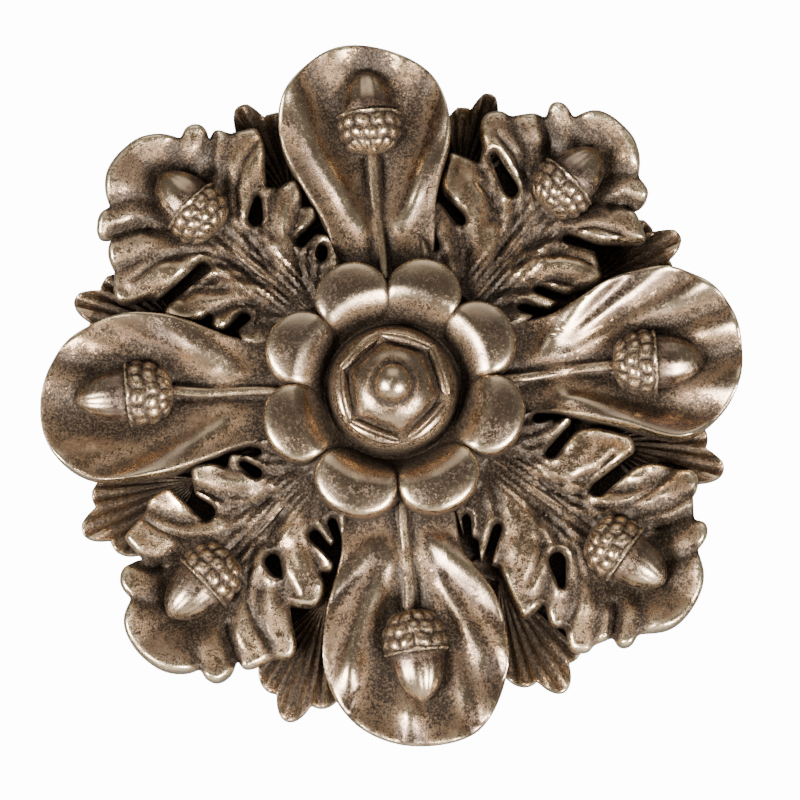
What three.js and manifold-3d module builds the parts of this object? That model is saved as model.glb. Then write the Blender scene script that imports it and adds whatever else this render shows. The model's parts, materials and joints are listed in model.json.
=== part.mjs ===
// A cast wall rosette: four plain cupped leaves and four lobed oak leaves, each with an acorn,
// spread over a ring of small fluted fans, round a ring of petals and a domed boss.
// It is modelled lying on its back, in millimetres: x to the right, y up the wall, z off the wall.
// The group at the end of the file stands it up, so that it faces -Y with its flat back at Y = 0.

import * as THREE from "three";
import { mergeVertices } from "three/addons/utils/BufferGeometryUtils.js";
import Module from "manifold-3d";

const wasm = await Module();
wasm.setup();

// Back disc and the hub that carries leaves, petals and boss.
const DISC_RADIUS = 78;
const DISC_THICKNESS = 4;
const HUB_RADIUS = 33;
const HUB_HEIGHT = 20;
const ROUND_SIDES = 20;

// Keyhole slot moulded in the back: the screw head goes in at the round entry and slides up.
const KEY_ENTRY_DIAMETER = 9;
const KEY_NECK_WIDTH = 4.6;
const KEY_LIP = 2.5;
const KEY_DEPTH = 7;
const KEY_RUN = 12;
const KEY_ENTRY_HEIGHT = 20;
const KEY_SIDES = 12;

// How far the crown of leaves and fans reaches from the centre. They are drawn below at a reach
// of 95 and grow out from their roots when it changes.
const CROWN_REACH = 95;
const CROWN_GROWTH = CROWN_REACH / 95;

// The crown was modelled by hand: its centre sits a little high and it is a touch taller than it
// is wide.
const CROWN_RISE = 1;
const CROWN_STRETCH = 1.01;

// Lower fans: five flutes spread from a focus, with scalloped tips.
const FAN_FOCUS = 58;
const FAN_BASE = 50;
const FAN_BASE_HALF_WIDTH = 8;
const FLUTES = 5;
const FLUTE_PITCH_DEGREES = 12;
const FLUTE_ROUNDING_DEGREES = 3;
const FLUTE_SHORTENING = 1.9;
const FLUTE_NOTCH = 3;
const FLUTE_RELIEF = 1.3;
const FAN_HEIGHT = 8;
const FAN_DROOP = 1.5;
const FAN_UNDERSIDE = { root: 1, tip: 3 };
// Direction of each fan, and how far its middle flute reaches.
const FANS = [
  { degrees: 29, reach: 90.5 },
  { degrees: 72, reach: 87.5 },
  { degrees: 118, reach: 90.5 },
  { degrees: 163.5, reach: 91.5 },
  { degrees: 204, reach: 93 },
  { degrees: 252, reach: 93.5 },
  { degrees: 300, reach: 93.5 },
  { degrees: 347, reach: 93 },
];

// Acorn, from the foot of its cup to the point of the nut.
const ACORN_LENGTH = 24;
const CUP_LENGTH = 11;
const CUP_RADIUS = 8.7;
const NUT_RADIUS = 7.2;
const ACORN_SIDES = 8;
const STEM_RADIUS = 1.4;
const STEM_SIDES = 5;

// Heights of the leaves off the wall. Stations run out from the centre: distance, height.
const LEAF_ROOT = 30;
const OAK_CROWN = [
  [LEAF_ROOT, 17.5],
  [50, 14],
  [66, 12.5],
  [80, 12],
  [97, 14.5],
];
const OAK_SWELL = 2.4;
const OAK_SWELL_WIDTH = 30;
const OAK_UNDERSIDE = { root: 1.5, slope: 0.12 };
const OAK_ACORN_HEIGHT = 15;
const OVATE_CROWN = [
  [LEAF_ROOT, 18],
  [50, 15.5],
  [66, 15.5],
  [80, 15.5],
  [97, 17],
];
const OVATE_CUPPING = 5;
const OVATE_RUFFLES = 9;
const OVATE_RUFFLE_RELIEF = 1.4;
const OVATE_HEART = 66;
const OVATE_UNDERSIDE = { root: 2, slope: 0.205 };
const OVATE_ACORN_HEIGHT = 18;

// Grooves carved along the veins of the oak leaves.
const VEIN_RADIUS = 1;
const VEIN_SIDES = 4;
const VEIN_STEPS = 2;
const SHEET_CELL = 9;
const OVATE_SIDES = 26;

// Plain cupped leaves. Each edge runs from the left of the root over the tip to the right of the
// root, as distance to the right of the leaf's axis and distance out from the centre.
const OVATE_LEAVES = [
  {
    degrees: 4.6,
    ruffle: 20,
    edge: [
      [-13, 30],
      [-17, 46],
      [-25.5, 65],
      [-26, 80],
      [-16, 92.5],
      [0, 95.3],
      [12, 90.5],
      [20, 78],
      [15, 61],
      [10, 43],
      [7.5, 30],
    ],
    acorn: { side: -1.8, foot: 60, stretch: 1.05, lean: 2 },
  },
  {
    degrees: 94.7,
    ruffle: 5,
    edge: [
      [-10, 30],
      [-15, 46],
      [-25, 69],
      [-24, 81],
      [-14, 91.5],
      [-1.5, 94],
      [9, 90.5],
      [18, 84],
      [21.5, 69],
      [16.5, 53],
      [11, 30],
    ],
    acorn: { side: -0.5, foot: 64.3, stretch: 0.98, lean: 0 },
  },
  {
    degrees: 182,
    ruffle: 25,
    edge: [
      [-10, 30],
      [-15, 44],
      [-21.5, 65],
      [-21.5, 84],
      [-12.5, 94],
      [0, 95.7],
      [14, 89.5],
      [21.5, 77],
      [21.7, 61],
      [16, 45],
      [11, 30],
    ],
    acorn: { side: 1.6, foot: 59.7, stretch: 1.12, lean: -4 },
  },
  {
    degrees: 274.9,
    ruffle: 10,
    edge: [
      [-12, 30],
      [-15, 44],
      [-23.5, 60],
      [-24.5, 78],
      [-15, 94],
      [3, 96.5],
      [17, 90],
      [24.5, 77],
      [24, 62],
      [18, 44],
      [15, 30],
    ],
    acorn: { side: 0.4, foot: 60, stretch: 1.05, lean: -3 },
  },
];

// Lobed oak leaves. Each outline corner has a distance to the right of the axis, a distance out
// and, where it is a rounded one, how much of the corner is rounded off. An eye is a tapered hole
// from its wide inner end to its mouth: right, out and radius at each end. Left and right sides
// differ, as they were carved.
const OAK_LEAVES = [
  {
    degrees: 48.5,
    outline: [
      [-8, 30],
      [-17.5, 39.5, 2],
      [-24.5, 44.5, 2],
      [-22.5, 48.5],
      [-26, 52, 2],
      [-31.5, 60, 2],
      [-23.5, 62.5],
      [-26.5, 67, 2],
      [-32.5, 75, 2.5],
      [-20, 83, 2.5],
      [-15, 79.5],
      [-20, 86.5, 2.5],
      [-17, 90, 2],
      [-12.5, 88.8],
      [-8, 96, 6],
      [6.5, 96, 7],
      [11.5, 88.3],
      [17.5, 87.5, 3],
      [17.5, 81.5, 2],
      [13.5, 80],
      [17, 80],
      [25.5, 77, 2.5],
      [20, 70, 2],
      [15, 67],
      [23.5, 60.5, 2],
      [19, 54, 2],
      [16, 49.5],
      [16.5, 42, 2],
      [8, 30],
    ],
    eyes: [
      { inner: [-12.5, 63, 2.2], mouth: [-22.5, 67, 1] },
      { inner: [-17, 47.3, 1.5], mouth: [-26, 48.5, 1.3] },
      { inner: [-19.5, 37, 1.4], mouth: [-15, 40, 1] },
      { inner: [-13.5, 80.2, 1], mouth: [-18, 84, 1.4] },
      { inner: [8, 63.2, 1.5], mouth: [18, 67.5, 1] },
      { inner: [11.5, 47, 1.2], mouth: [18, 49, 1.5] },
    ],
    lobes: { left: [69, 56], right: [72, 60] },
    acorn: { side: -2.4, foot: 64.6, stretch: 0.92, lean: 4 },
  },
  {
    degrees: 137.5,
    outline: [
      [-8, 30],
      [-14, 40, 2],
      [-20, 47, 2.5],
      [-16.5, 50.5],
      [-23, 53, 2],
      [-27.5, 60, 2.5],
      [-24, 62.5],
      [-27.5, 69, 2],
      [-33, 73.5, 2.5],
      [-24, 83, 2.5],
      [-17.5, 83],
      [-24.5, 88, 2.5],
      [-19, 92, 2.5],
      [-15.5, 91],
      [-11, 98.5, 6],
      [6.5, 98.5, 7],
      [11.5, 89.5],
      [17, 87.5, 3],
      [15.5, 83.5],
      [20, 83, 2],
      [28, 75.5, 2.5],
      [21, 68, 2],
      [19.5, 63.5],
      [24.5, 57, 2.5],
      [20, 51],
      [19.5, 47.5, 2],
      [15, 44],
      [8, 30],
    ],
    eyes: [
      { inner: [-10, 61, 2], mouth: [-26, 62.5, 1.2] },
      { inner: [-12.5, 43, 1.5], mouth: [-17, 43.5, 1.3] },
      { inner: [-13.5, 81.5, 1], mouth: [-22, 85, 1.4] },
      { inner: [9.5, 60, 2.2], mouth: [16, 64, 1] },
      { inner: [13, 45.5, 1.4], mouth: [19, 46, 1.4] },
      { inner: [13, 38, 1.3], mouth: [17, 38, 1.3] },
    ],
    lobes: { left: [70, 57], right: [71, 59] },
    acorn: { side: -0.7, foot: 64.6, stretch: 0.93, lean: 2 },
  },
  {
    degrees: 225.5,
    outline: [
      [-8, 30],
      [-16, 41, 2],
      [-22, 46, 2.5],
      [-17.5, 49.5],
      [-25.5, 52, 2],
      [-25, 59.5, 3],
      [-20.5, 61.5],
      [-24.5, 64, 2],
      [-32.5, 70.5, 2.5],
      [-25, 82, 2.5],
      [-17.5, 80.5],
      [-23, 89, 2.5],
      [-20, 91.5, 2],
      [-15.5, 90.5],
      [-11, 97.5, 6],
      [6.5, 97.5, 7],
      [11, 90],
      [18.5, 90, 3],
      [16.5, 82],
      [24, 81, 2],
      [25.5, 69, 2.5],
      [25.5, 61.5, 2.5],
      [17, 59],
      [24.5, 53, 2.5],
      [16.5, 48.5],
      [15, 42, 2],
      [8, 30],
    ],
    eyes: [
      { inner: [-9, 56, 2.3], mouth: [-21, 61, 1] },
      { inner: [-12, 43, 1.6], mouth: [-19.5, 43.5, 1.3] },
      { inner: [-15, 79, 1], mouth: [-20, 84, 1.5] },
      { inner: [13, 59, 2.4], mouth: [24, 60, 1] },
      { inner: [10.5, 42, 1.5], mouth: [17, 42.5, 1.3] },
    ],
    lobes: { left: [70, 56], right: [70, 54] },
    acorn: { side: 0, foot: 62.4, stretch: 1, lean: 1 },
  },
  {
    degrees: 324.6,
    outline: [
      [-8, 30],
      [-14.5, 39, 2],
      [-20.5, 43, 2.5],
      [-17.5, 46.5],
      [-21, 51, 2],
      [-27, 62, 2.5],
      [-22, 66],
      [-25.5, 69.5, 2],
      [-30.5, 81.5, 2.5],
      [-18.5, 86, 2.5],
      [-13.5, 84],
      [-20, 90, 2.5],
      [-17, 93, 2],
      [-12.5, 92.5],
      [-9, 98.8, 6],
      [11, 98.8, 7],
      [15, 92.5],
      [21.5, 91.5, 3],
      [18.5, 86],
      [20.5, 87, 2],
      [30.5, 81.5, 2.5],
      [26, 70, 2],
      [23, 67],
      [31.5, 65.5, 2],
      [25, 56.5, 2.5],
      [20.5, 50.5],
      [22, 43.5, 2],
      [15, 38],
      [8, 30],
    ],
    eyes: [
      { inner: [-10.5, 61, 2], mouth: [-25, 65, 1.4] },
      { inner: [-11, 45, 1.5], mouth: [-19, 45.5, 1.3] },
      { inner: [-13, 79.5, 1], mouth: [-15, 87.5, 1.4] },
      { inner: [11.5, 63, 2.4], mouth: [16.5, 68, 1] },
      { inner: [14, 44.8, 1.3], mouth: [24, 48, 1.4] },
      { inner: [17, 36, 1.3], mouth: [21, 41, 1.2] },
    ],
    lobes: { left: [72, 57], right: [73, 58] },
    acorn: { side: 0, foot: 66, stretch: 1.02, lean: 0 },
  },
];

// Ring of eight petals round the boss.
const PETAL_DEGREES = [29.8, 72, 114, 156.4, 200.3, 248.6, 297, 344.7];
const PETAL_CENTRE = 28.2;
const PETAL_WIDTH = 20.4;
const PETAL_DEPTH = 18;
const PETAL_SIDES = 12;
const PETAL_CREST = 29.5;
const PETAL_CREST_SHARE = 0.4;
const PETAL_FOOT = 22;
const PETAL_TIP = 26.5;
const PETAL_EDGE_ROUNDING = 2.2;
const PETAL_UNDERSIDE = 16;

// Domed boss in a groove, six lens-shaped leaves lying round the dome, and the knob.
const BOSS_RADIUS = 17.5;
const BOSS_FOOT = 21.5;
const BOSS_SHOULDER = 28;
const DOME_RADIUS = 11.5;
const DOME_HEIGHT = 35;
const KNOB_RADIUS = 5.2;
const LENS_DEGREES = [18.5, 74, 132.8, 189, 247.6, 314.5];
const LENS_CENTRE = 13.7;
const LENS_LENGTH = 15.5;
const LENS_WIDTH = 4.4;
const LENS_RELIEF = 1.4;
const LENS_SIDES = 6;

const radians = (degrees) => (degrees * Math.PI) / 180;

// A distance out from the centre, taken from the drawn crown to the real one and back.
const grown = (drawn) => LEAF_ROOT + (drawn - LEAF_ROOT) * CROWN_GROWTH;
const drawnAt = (out) => LEAF_ROOT + (out - LEAF_ROOT) / CROWN_GROWTH;

// A drawn place, across and out, on the real crown. What follows the place is kept.
const onCrown = ([across, out, ...rest]) => [across * CROWN_GROWTH, grown(out), ...rest];

// Height at a distance, by straight lines between drawn stations of distance and height.
function heightAt(stations, distance) {
  const out = drawnAt(distance);
  const last = stations.length - 1;
  const after = stations.findIndex(([station]) => station > out);
  if (after === 0) return stations[0][1];
  if (after < 0) return stations[last][1];
  const [start, low] = stations[after - 1];
  const [end, high] = stations[after];
  return THREE.MathUtils.lerp(low, high, (out - start) / (end - start));
}

// Height of a sloping underside at a distance from the centre.
const undersideAt = (underside, distance) =>
  underside.root + underside.slope * (drawnAt(distance) - LEAF_ROOT);

// A closed geometry as a solid that can be joined and cut.
function solidOf(geometry) {
  geometry.deleteAttribute("normal");
  geometry.deleteAttribute("uv");
  const merged = mergeVertices(geometry);
  const vertProperties = new Float32Array(merged.attributes.position.array);
  const triVerts = new Uint32Array(merged.index.array);
  return new wasm.Manifold(new wasm.Mesh({ numProp: 3, vertProperties, triVerts }));
}

// A geometry from plain lists of corner coordinates and triangles.
function geometryOf(corners, triangles) {
  const geometry = new THREE.BufferGeometry();
  geometry.setAttribute("position", new THREE.Float32BufferAttribute(corners.flat(), 3));
  geometry.setIndex(triangles.flat());
  return geometry;
}

// Stands a piece that was made along +Y out from the centre in its own direction.
function pointed(geometry, degrees) {
  geometry.rotateZ(radians(degrees - 90));
  return geometry.scale(1, CROWN_STRETCH, 1).translate(0, CROWN_RISE, 0);
}

// A closed pad: rings of corners run from a middle point out to the edge, at the given shares of
// the way. topAt gives the height at a corner, bottomAt the height of the flat underside.
function pad(edge, middle, shares, topAt, bottomAt) {
  const sides = edge.length;
  const corners = [[middle.x, middle.y, topAt(middle, 0, 0)]];
  const triangles = [];
  shares.forEach((share) =>
    edge.forEach((point, side) => {
      const corner = middle.clone().lerp(point, share);
      corners.push([corner.x, corner.y, topAt(corner, share, side)]);
    }),
  );
  edge.forEach((point) => corners.push([point.x, point.y, bottomAt(point)]));
  corners.push([middle.x, middle.y, bottomAt(middle)]);
  const underside = corners.length - 1;
  for (let side = 0; side < sides; side++) {
    const next = (side + 1) % sides;
    triangles.push([0, 1 + side, 1 + next]);
    for (let ring = 0; ring < shares.length; ring++) {
      const inner = 1 + ring * sides;
      const outer = inner + sides;
      triangles.push([inner + side, outer + side, outer + next]);
      triangles.push([inner + side, outer + next, inner + next]);
    }
    const rim = 1 + shares.length * sides;
    triangles.push([underside, rim + next, rim + side]);
  }
  return geometryOf(corners, triangles);
}

// A closed sheet over a rectangle of cells, with a flat underside.
function sheet(box, topAt, bottomAt) {
  const across = Math.ceil((box.max.x - box.min.x) / SHEET_CELL);
  const along = Math.ceil((box.max.y - box.min.y) / SHEET_CELL);
  const corners = [];
  const triangles = [];
  const place = (column, row) =>
    new THREE.Vector2(
      THREE.MathUtils.lerp(box.min.x, box.max.x, column / across),
      THREE.MathUtils.lerp(box.min.y, box.max.y, row / along),
    );
  const index = (column, row) => row * (across + 1) + column;
  for (let row = 0; row <= along; row++) {
    for (let column = 0; column <= across; column++) {
      const spot = place(column, row);
      corners.push([spot.x, spot.y, topAt(spot.x, spot.y)]);
    }
  }
  for (let row = 0; row < along; row++) {
    for (let column = 0; column < across; column++) {
      const [a, b] = [index(column, row), index(column + 1, row)];
      const [c, d] = [index(column + 1, row + 1), index(column, row + 1)];
      if (box.min.x + box.max.x > 2 * place(column + 0.5, row).x) {
        triangles.push([a, b, c], [a, c, d]);
      } else {
        triangles.push([a, b, d], [b, c, d]);
      }
    }
  }
  const border = [];
  for (let column = 0; column < across; column++) border.push(index(column, 0));
  for (let row = 0; row < along; row++) border.push(index(across, row));
  for (let column = across; column > 0; column--) border.push(index(column, along));
  for (let row = along; row > 0; row--) border.push(index(0, row));
  const below = corners.length;
  border.forEach((top) => {
    const [x, y] = corners[top];
    corners.push([x, y, bottomAt(y)]);
  });
  const middle = box.getCenter(new THREE.Vector2());
  const underside = corners.length;
  corners.push([middle.x, middle.y, bottomAt(middle.y)]);
  border.forEach((top, step) => {
    const next = (step + 1) % border.length;
    triangles.push([top, below + step, below + next]);
    triangles.push([top, below + next, border[next]]);
    triangles.push([underside, below + next, below + step]);
  });
  return geometryOf(corners, triangles);
}

// A shape through corners, each rounded off by its own length.
function roundedShape(corners) {
  const shape = new THREE.Shape();
  const points = corners.map(([x, y]) => new THREE.Vector2(x, y));
  corners.forEach(([, , rounding = 0], index) => {
    const corner = points[index];
    const before = points.at(index - 1);
    const after = points[(index + 1) % points.length];
    const cut = (end) => {
      const length = corner.distanceTo(end);
      return corner.clone().lerp(end, Math.min(rounding / length, 0.5));
    };
    const start = cut(before);
    const end = cut(after);
    if (index === 0) shape.moveTo(start.x, start.y);
    else shape.lineTo(start.x, start.y);
    if (rounding > 0) shape.quadraticCurveTo(corner.x, corner.y, end.x, end.y);
  });
  shape.closePath();
  return shape;
}

// A tapered slot: the outline round two circles.
function eyeShape(inner, mouth) {
  const from = new THREE.Vector2(inner[0], inner[1]);
  const to = new THREE.Vector2(mouth[0], mouth[1]);
  const along = to.clone().sub(from).angle();
  const spread = Math.acos((inner[2] - mouth[2]) / from.distanceTo(to));
  const shape = new THREE.Shape();
  shape.absarc(from.x, from.y, inner[2], along + spread, along - spread + 2 * Math.PI);
  shape.absarc(to.x, to.y, mouth[2], along - spread, along + spread);
  shape.closePath();
  return shape;
}

// A straight-sided block of a shape, tall enough to cut or trim any leaf.
function block(shape, curveSegments) {
  const depth = HUB_HEIGHT + PETAL_CREST;
  return new THREE.ExtrudeGeometry(shape, { depth, bevelEnabled: false, curveSegments });
}

// A round bar along a curve through points.
function bar(points, radius, sides, steps) {
  const section = new THREE.Shape();
  section.absellipse(0, 0, radius, radius, 0, 2 * Math.PI);
  const round = new THREE.Shape(section.getPoints(sides).slice(0, sides));
  const extrudePath = new THREE.CatmullRomCurve3(points);
  return new THREE.ExtrudeGeometry(round, { steps, extrudePath, bevelEnabled: false });
}

// A solid of revolution about the z axis, from its radius and height at each profile point.
function turned(profile, sides) {
  const points = profile.map(([radius, height]) => new THREE.Vector2(radius, height));
  return new THREE.LatheGeometry(points, sides).rotateX(Math.PI / 2);
}

// Evenly spread corners of a smooth closed curve, counter-clockwise.
function smoothEdge(corners, count) {
  const points = corners.map(([x, y]) => new THREE.Vector3(x, y, 0));
  const curve = new THREE.CatmullRomCurve3(points, true, "centripetal");
  const edge = curve.getSpacedPoints(count).slice(0, count);
  const flat = edge.map((point) => new THREE.Vector2(point.x, point.y));
  return THREE.ShapeUtils.isClockWise(flat) ? flat.reverse() : flat;
}

// Corners of an oval, longest across, round a point up the y axis.
function oval(centre, width, depth, sides) {
  return Array.from({ length: sides }, (_, side) => {
    const angle = (2 * Math.PI * side) / sides;
    return new THREE.Vector2(
      (width / 2) * Math.cos(angle),
      centre + (depth / 2) * Math.sin(angle),
    );
  });
}

function core() {
  const chamfer = DISC_THICKNESS / 3;
  return solidOf(
    turned(
      [
        [0, 0],
        [DISC_RADIUS - chamfer, 0],
        [DISC_RADIUS, chamfer],
        [DISC_RADIUS, DISC_THICKNESS],
        [HUB_RADIUS + 5, DISC_THICKNESS + 2],
        [HUB_RADIUS, HUB_HEIGHT],
        [0, HUB_HEIGHT],
      ],
      ROUND_SIDES,
    ),
  );
}

function keyhole() {
  const past = 1;
  const standing = (radius, low, high, y) =>
    solidOf(
      new THREE.CylinderGeometry(radius, radius, high - low, KEY_SIDES)
        .rotateX(Math.PI / 2)
        .translate(0, y, (low + high) / 2),
    );
  const straight = (width, low, high) =>
    solidOf(
      new THREE.BoxGeometry(width, KEY_RUN, high - low).translate(
        0,
        KEY_ENTRY_HEIGHT + KEY_RUN / 2,
        (low + high) / 2,
      ),
    );
  const top = KEY_ENTRY_HEIGHT + KEY_RUN;
  const entry = standing(KEY_ENTRY_DIAMETER / 2, -past, KEY_DEPTH, KEY_ENTRY_HEIGHT);
  const headRun = straight(KEY_ENTRY_DIAMETER, KEY_LIP, KEY_DEPTH);
  const headEnd = standing(KEY_ENTRY_DIAMETER / 2, KEY_LIP, KEY_DEPTH, top);
  const neckRun = straight(KEY_NECK_WIDTH, -past, KEY_DEPTH);
  const neckEnd = standing(KEY_NECK_WIDTH / 2, -past, KEY_DEPTH, top);
  return entry.add(headRun).add(headEnd).add(neckRun).add(neckEnd);
}

function fan({ degrees, reach }) {
  const tip = grown(reach);
  const focus = new THREE.Vector2(0, FAN_FOCUS);
  const edge = [];
  const relief = [];
  const put = (angle, length, height) => {
    const direction = radians(90 - angle);
    const offset = new THREE.Vector2(Math.cos(direction), Math.sin(direction));
    edge.push(focus.clone().addScaledVector(offset, length));
    relief.push(height);
  };
  for (let flute = (FLUTES - 1) / 2; flute >= -(FLUTES - 1) / 2; flute--) {
    const angle = flute * FLUTE_PITCH_DEGREES;
    const length = tip - FAN_FOCUS - FLUTE_SHORTENING * flute * flute;
    put(angle + FLUTE_ROUNDING_DEGREES, length, 1);
    put(angle - FLUTE_ROUNDING_DEGREES, length, 1);
    put(angle - FLUTE_PITCH_DEGREES / 2, length - FLUTE_NOTCH, -1);
  }
  for (const side of [-1, 1]) {
    edge.push(new THREE.Vector2(side * FAN_BASE_HALF_WIDTH, FAN_BASE));
    relief.push(0);
  }
  const topAt = (corner, share, side) =>
    FAN_HEIGHT - FAN_DROOP * share + FLUTE_RELIEF * share * relief[side];
  const bottomAt = ({ y }) =>
    THREE.MathUtils.mapLinear(y, FAN_BASE, tip, FAN_UNDERSIDE.root, FAN_UNDERSIDE.tip);
  return solidOf(pointed(pad(edge, focus, [0.6, 1], topAt, bottomAt), degrees));
}

function acorn({ side, foot, stretch, lean }, height, degrees) {
  const [across, out] = onCrown([side, foot]);
  const rise = ACORN_LENGTH - CUP_LENGTH;
  const profile = [
    [0, 0],
    [0.55 * CUP_RADIUS, 0.06 * CUP_LENGTH],
    [0.9 * CUP_RADIUS, 0.35 * CUP_LENGTH],
    [CUP_RADIUS, CUP_LENGTH],
    [NUT_RADIUS, CUP_LENGTH + 0.3],
    [0.84 * NUT_RADIUS, CUP_LENGTH + 0.65 * rise],
    [0.45 * NUT_RADIUS, CUP_LENGTH + 0.9 * rise],
    [0, ACORN_LENGTH],
  ];
  const points = profile.map(([radius, along]) => new THREE.Vector2(radius, along));
  const geometry = new THREE.LatheGeometry(points, ACORN_SIDES).scale(1, stretch, 1);
  geometry.rotateZ(radians(-lean)).translate(across, out, height);
  return solidOf(pointed(geometry, degrees));
}

// The stem lies on its leaf from the root to the foot of the acorn.
function stem({ side, foot }, crown, degrees) {
  const [across, end] = onCrown([side, foot]);
  const points = [0, 0.5, 1].map((share) => {
    const out = THREE.MathUtils.lerp(LEAF_ROOT, end + STEM_RADIUS, share);
    return new THREE.Vector3(across * share, out, heightAt(crown, out) + STEM_RADIUS / 3);
  });
  return solidOf(pointed(bar(points, STEM_RADIUS, STEM_SIDES, 2), degrees));
}

function ovateLeaf({ degrees, ruffle, edge, acorn: fruit }) {
  const heart = new THREE.Vector2(0, grown(OVATE_HEART));
  const corners = smoothEdge(edge.map(onCrown), OVATE_SIDES);
  const topAt = (corner, share) => {
    const around = corner.clone().sub(heart).angle();
    const wave = Math.cos(OVATE_RUFFLES * (around - radians(ruffle)));
    const cupping = OVATE_CUPPING * share ** 3 + OVATE_RUFFLE_RELIEF * share ** 2 * wave;
    const open = THREE.MathUtils.smoothstep(corner.y, LEAF_ROOT, heart.y);
    return heightAt(OVATE_CROWN, corner.y) + cupping * open;
  };
  const bottomAt = ({ y }) => undersideAt(OVATE_UNDERSIDE, y);
  const blade = pad(corners, heart, [0.45, 0.8, 1], topAt, bottomAt);
  return solidOf(pointed(blade, degrees))
    .add(stem(fruit, OVATE_CROWN, degrees))
    .add(acorn(fruit, OVATE_ACORN_HEIGHT, degrees));
}

function oakTopAt(x, y) {
  const swell = Math.sin((Math.PI * Math.min(Math.abs(x), OAK_SWELL_WIDTH)) / OAK_SWELL_WIDTH);
  return heightAt(OAK_CROWN, y) + OAK_SWELL * swell;
}

// A groove from the midrib out to the tip of a lobe, bowed towards the leaf's own tip.
function vein(side, drawnTip, degrees) {
  const tip = grown(drawnTip);
  const length = 0.32 * tip;
  const points = [
    [0.1, tip - 0.62 * length],
    [0.5, tip - 0.08 * length],
    [1.1, tip + 0.12 * length],
  ].map(([out, y]) => {
    const x = side * out * length;
    return new THREE.Vector3(x, y, oakTopAt(x, y) + VEIN_RADIUS / 5);
  });
  return solidOf(pointed(bar(points, VEIN_RADIUS, VEIN_SIDES, VEIN_STEPS), degrees));
}

function oakLeaf({ degrees, outline, eyes, lobes, acorn: fruit }) {
  const edge = outline.map(onCrown);
  const corners = edge.map(([x, y]) => new THREE.Vector2(x, y));
  const box = new THREE.Box2().setFromPoints(corners).expandByScalar(1);
  const bottomAt = (y) => undersideAt(OAK_UNDERSIDE, y);
  let leaf = solidOf(pointed(sheet(box, oakTopAt, bottomAt), degrees));
  leaf = leaf.intersect(solidOf(pointed(block(roundedShape(edge), 1), degrees)));
  for (const { inner, mouth } of eyes) {
    const eye = eyeShape(onCrown(inner), onCrown(mouth));
    leaf = leaf.subtract(solidOf(pointed(block(eye, 1), degrees)));
  }
  for (const tip of lobes.left) leaf = leaf.subtract(vein(-1, tip, degrees));
  for (const tip of lobes.right) leaf = leaf.subtract(vein(1, tip, degrees));
  return leaf
    .add(stem(fruit, OAK_CROWN, degrees))
    .add(acorn(fruit, OAK_ACORN_HEIGHT, degrees));
}

// A petal rises steeply out of the boss groove to a crest, then falls gently to its rounded tip.
function petal(degrees) {
  const middle = new THREE.Vector2(0, PETAL_CENTRE);
  const edge = oval(PETAL_CENTRE, PETAL_WIDTH, PETAL_DEPTH, PETAL_SIDES);
  const inside = PETAL_CENTRE - PETAL_DEPTH / 2;
  const topAt = (corner, share) => {
    const out = (corner.length() - inside) / PETAL_DEPTH;
    const climb = Math.max(1 - out / PETAL_CREST_SHARE, 0) ** 2;
    const fall = Math.max(out - PETAL_CREST_SHARE, 0) / (1 - PETAL_CREST_SHARE);
    return (
      PETAL_CREST -
      (PETAL_CREST - PETAL_FOOT) * climb -
      (PETAL_CREST - PETAL_TIP) * fall ** 2 -
      (share === 1 ? PETAL_EDGE_ROUNDING : 0)
    );
  };
  const blade = pad(edge, middle, [0.45, 0.88, 1], topAt, () => PETAL_UNDERSIDE);
  return solidOf(blade.rotateZ(radians(degrees - 90)));
}

function lens(degrees) {
  const middle = new THREE.Vector2(0, LENS_CENTRE);
  const edge = oval(LENS_CENTRE, LENS_LENGTH, LENS_WIDTH, LENS_SIDES);
  const topAt = (_, share) => BOSS_SHOULDER + LENS_RELIEF * (1 - share);
  const blade = pad(edge, middle, [1], topAt, () => BOSS_FOOT);
  return solidOf(blade.rotateZ(radians(degrees - 90)));
}

function boss() {
  const profile = [
    [0, HUB_HEIGHT - 1],
    [BOSS_RADIUS + 1.5, HUB_HEIGHT - 1],
    [BOSS_RADIUS, BOSS_FOOT],
    [BOSS_RADIUS - 1, BOSS_SHOULDER - 0.6],
    [BOSS_RADIUS - 2.5, BOSS_SHOULDER],
    [DOME_RADIUS, BOSS_SHOULDER - 0.5],
    [0.88 * DOME_RADIUS, THREE.MathUtils.lerp(BOSS_SHOULDER, DOME_HEIGHT, 0.5)],
    [0.68 * DOME_RADIUS, THREE.MathUtils.lerp(BOSS_SHOULDER, DOME_HEIGHT, 0.85)],
    [KNOB_RADIUS, DOME_HEIGHT],
  ];
  for (const angle of [30, 62]) {
    profile.push([
      KNOB_RADIUS * Math.cos(radians(angle)),
      DOME_HEIGHT + KNOB_RADIUS * Math.sin(radians(angle)),
    ]);
  }
  profile.push([0, DOME_HEIGHT + KNOB_RADIUS]);
  return solidOf(turned(profile, ROUND_SIDES));
}

let casting = core().add(boss());
for (const one of FANS) casting = casting.add(fan(one));
for (const one of OAK_LEAVES) casting = casting.add(oakLeaf(one));
for (const one of OVATE_LEAVES) casting = casting.add(ovateLeaf(one));
for (const degrees of PETAL_DEGREES) casting = casting.add(petal(degrees));
for (const degrees of LENS_DEGREES) casting = casting.add(lens(degrees));
casting = casting.subtract(keyhole());

const cast = casting.getMesh();
const geometry = new THREE.BufferGeometry();
geometry.setAttribute("position", new THREE.BufferAttribute(cast.vertProperties, 3));
geometry.setIndex(new THREE.BufferAttribute(cast.triVerts, 1));
geometry.computeVertexNormals();

const bronzeLeaf = new THREE.MeshStandardMaterial({
  color: 0x8c7460,
  roughness: 0.42,
  metalness: 0.85,
  flatShading: true,
});
const mesh = new THREE.Mesh(geometry, bronzeLeaf);
mesh.name = "rosette_casting";

const rosette = new THREE.Group();
rosette.add(mesh);
rosette.rotation.x = Math.PI / 2;

export default rosette;
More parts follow.
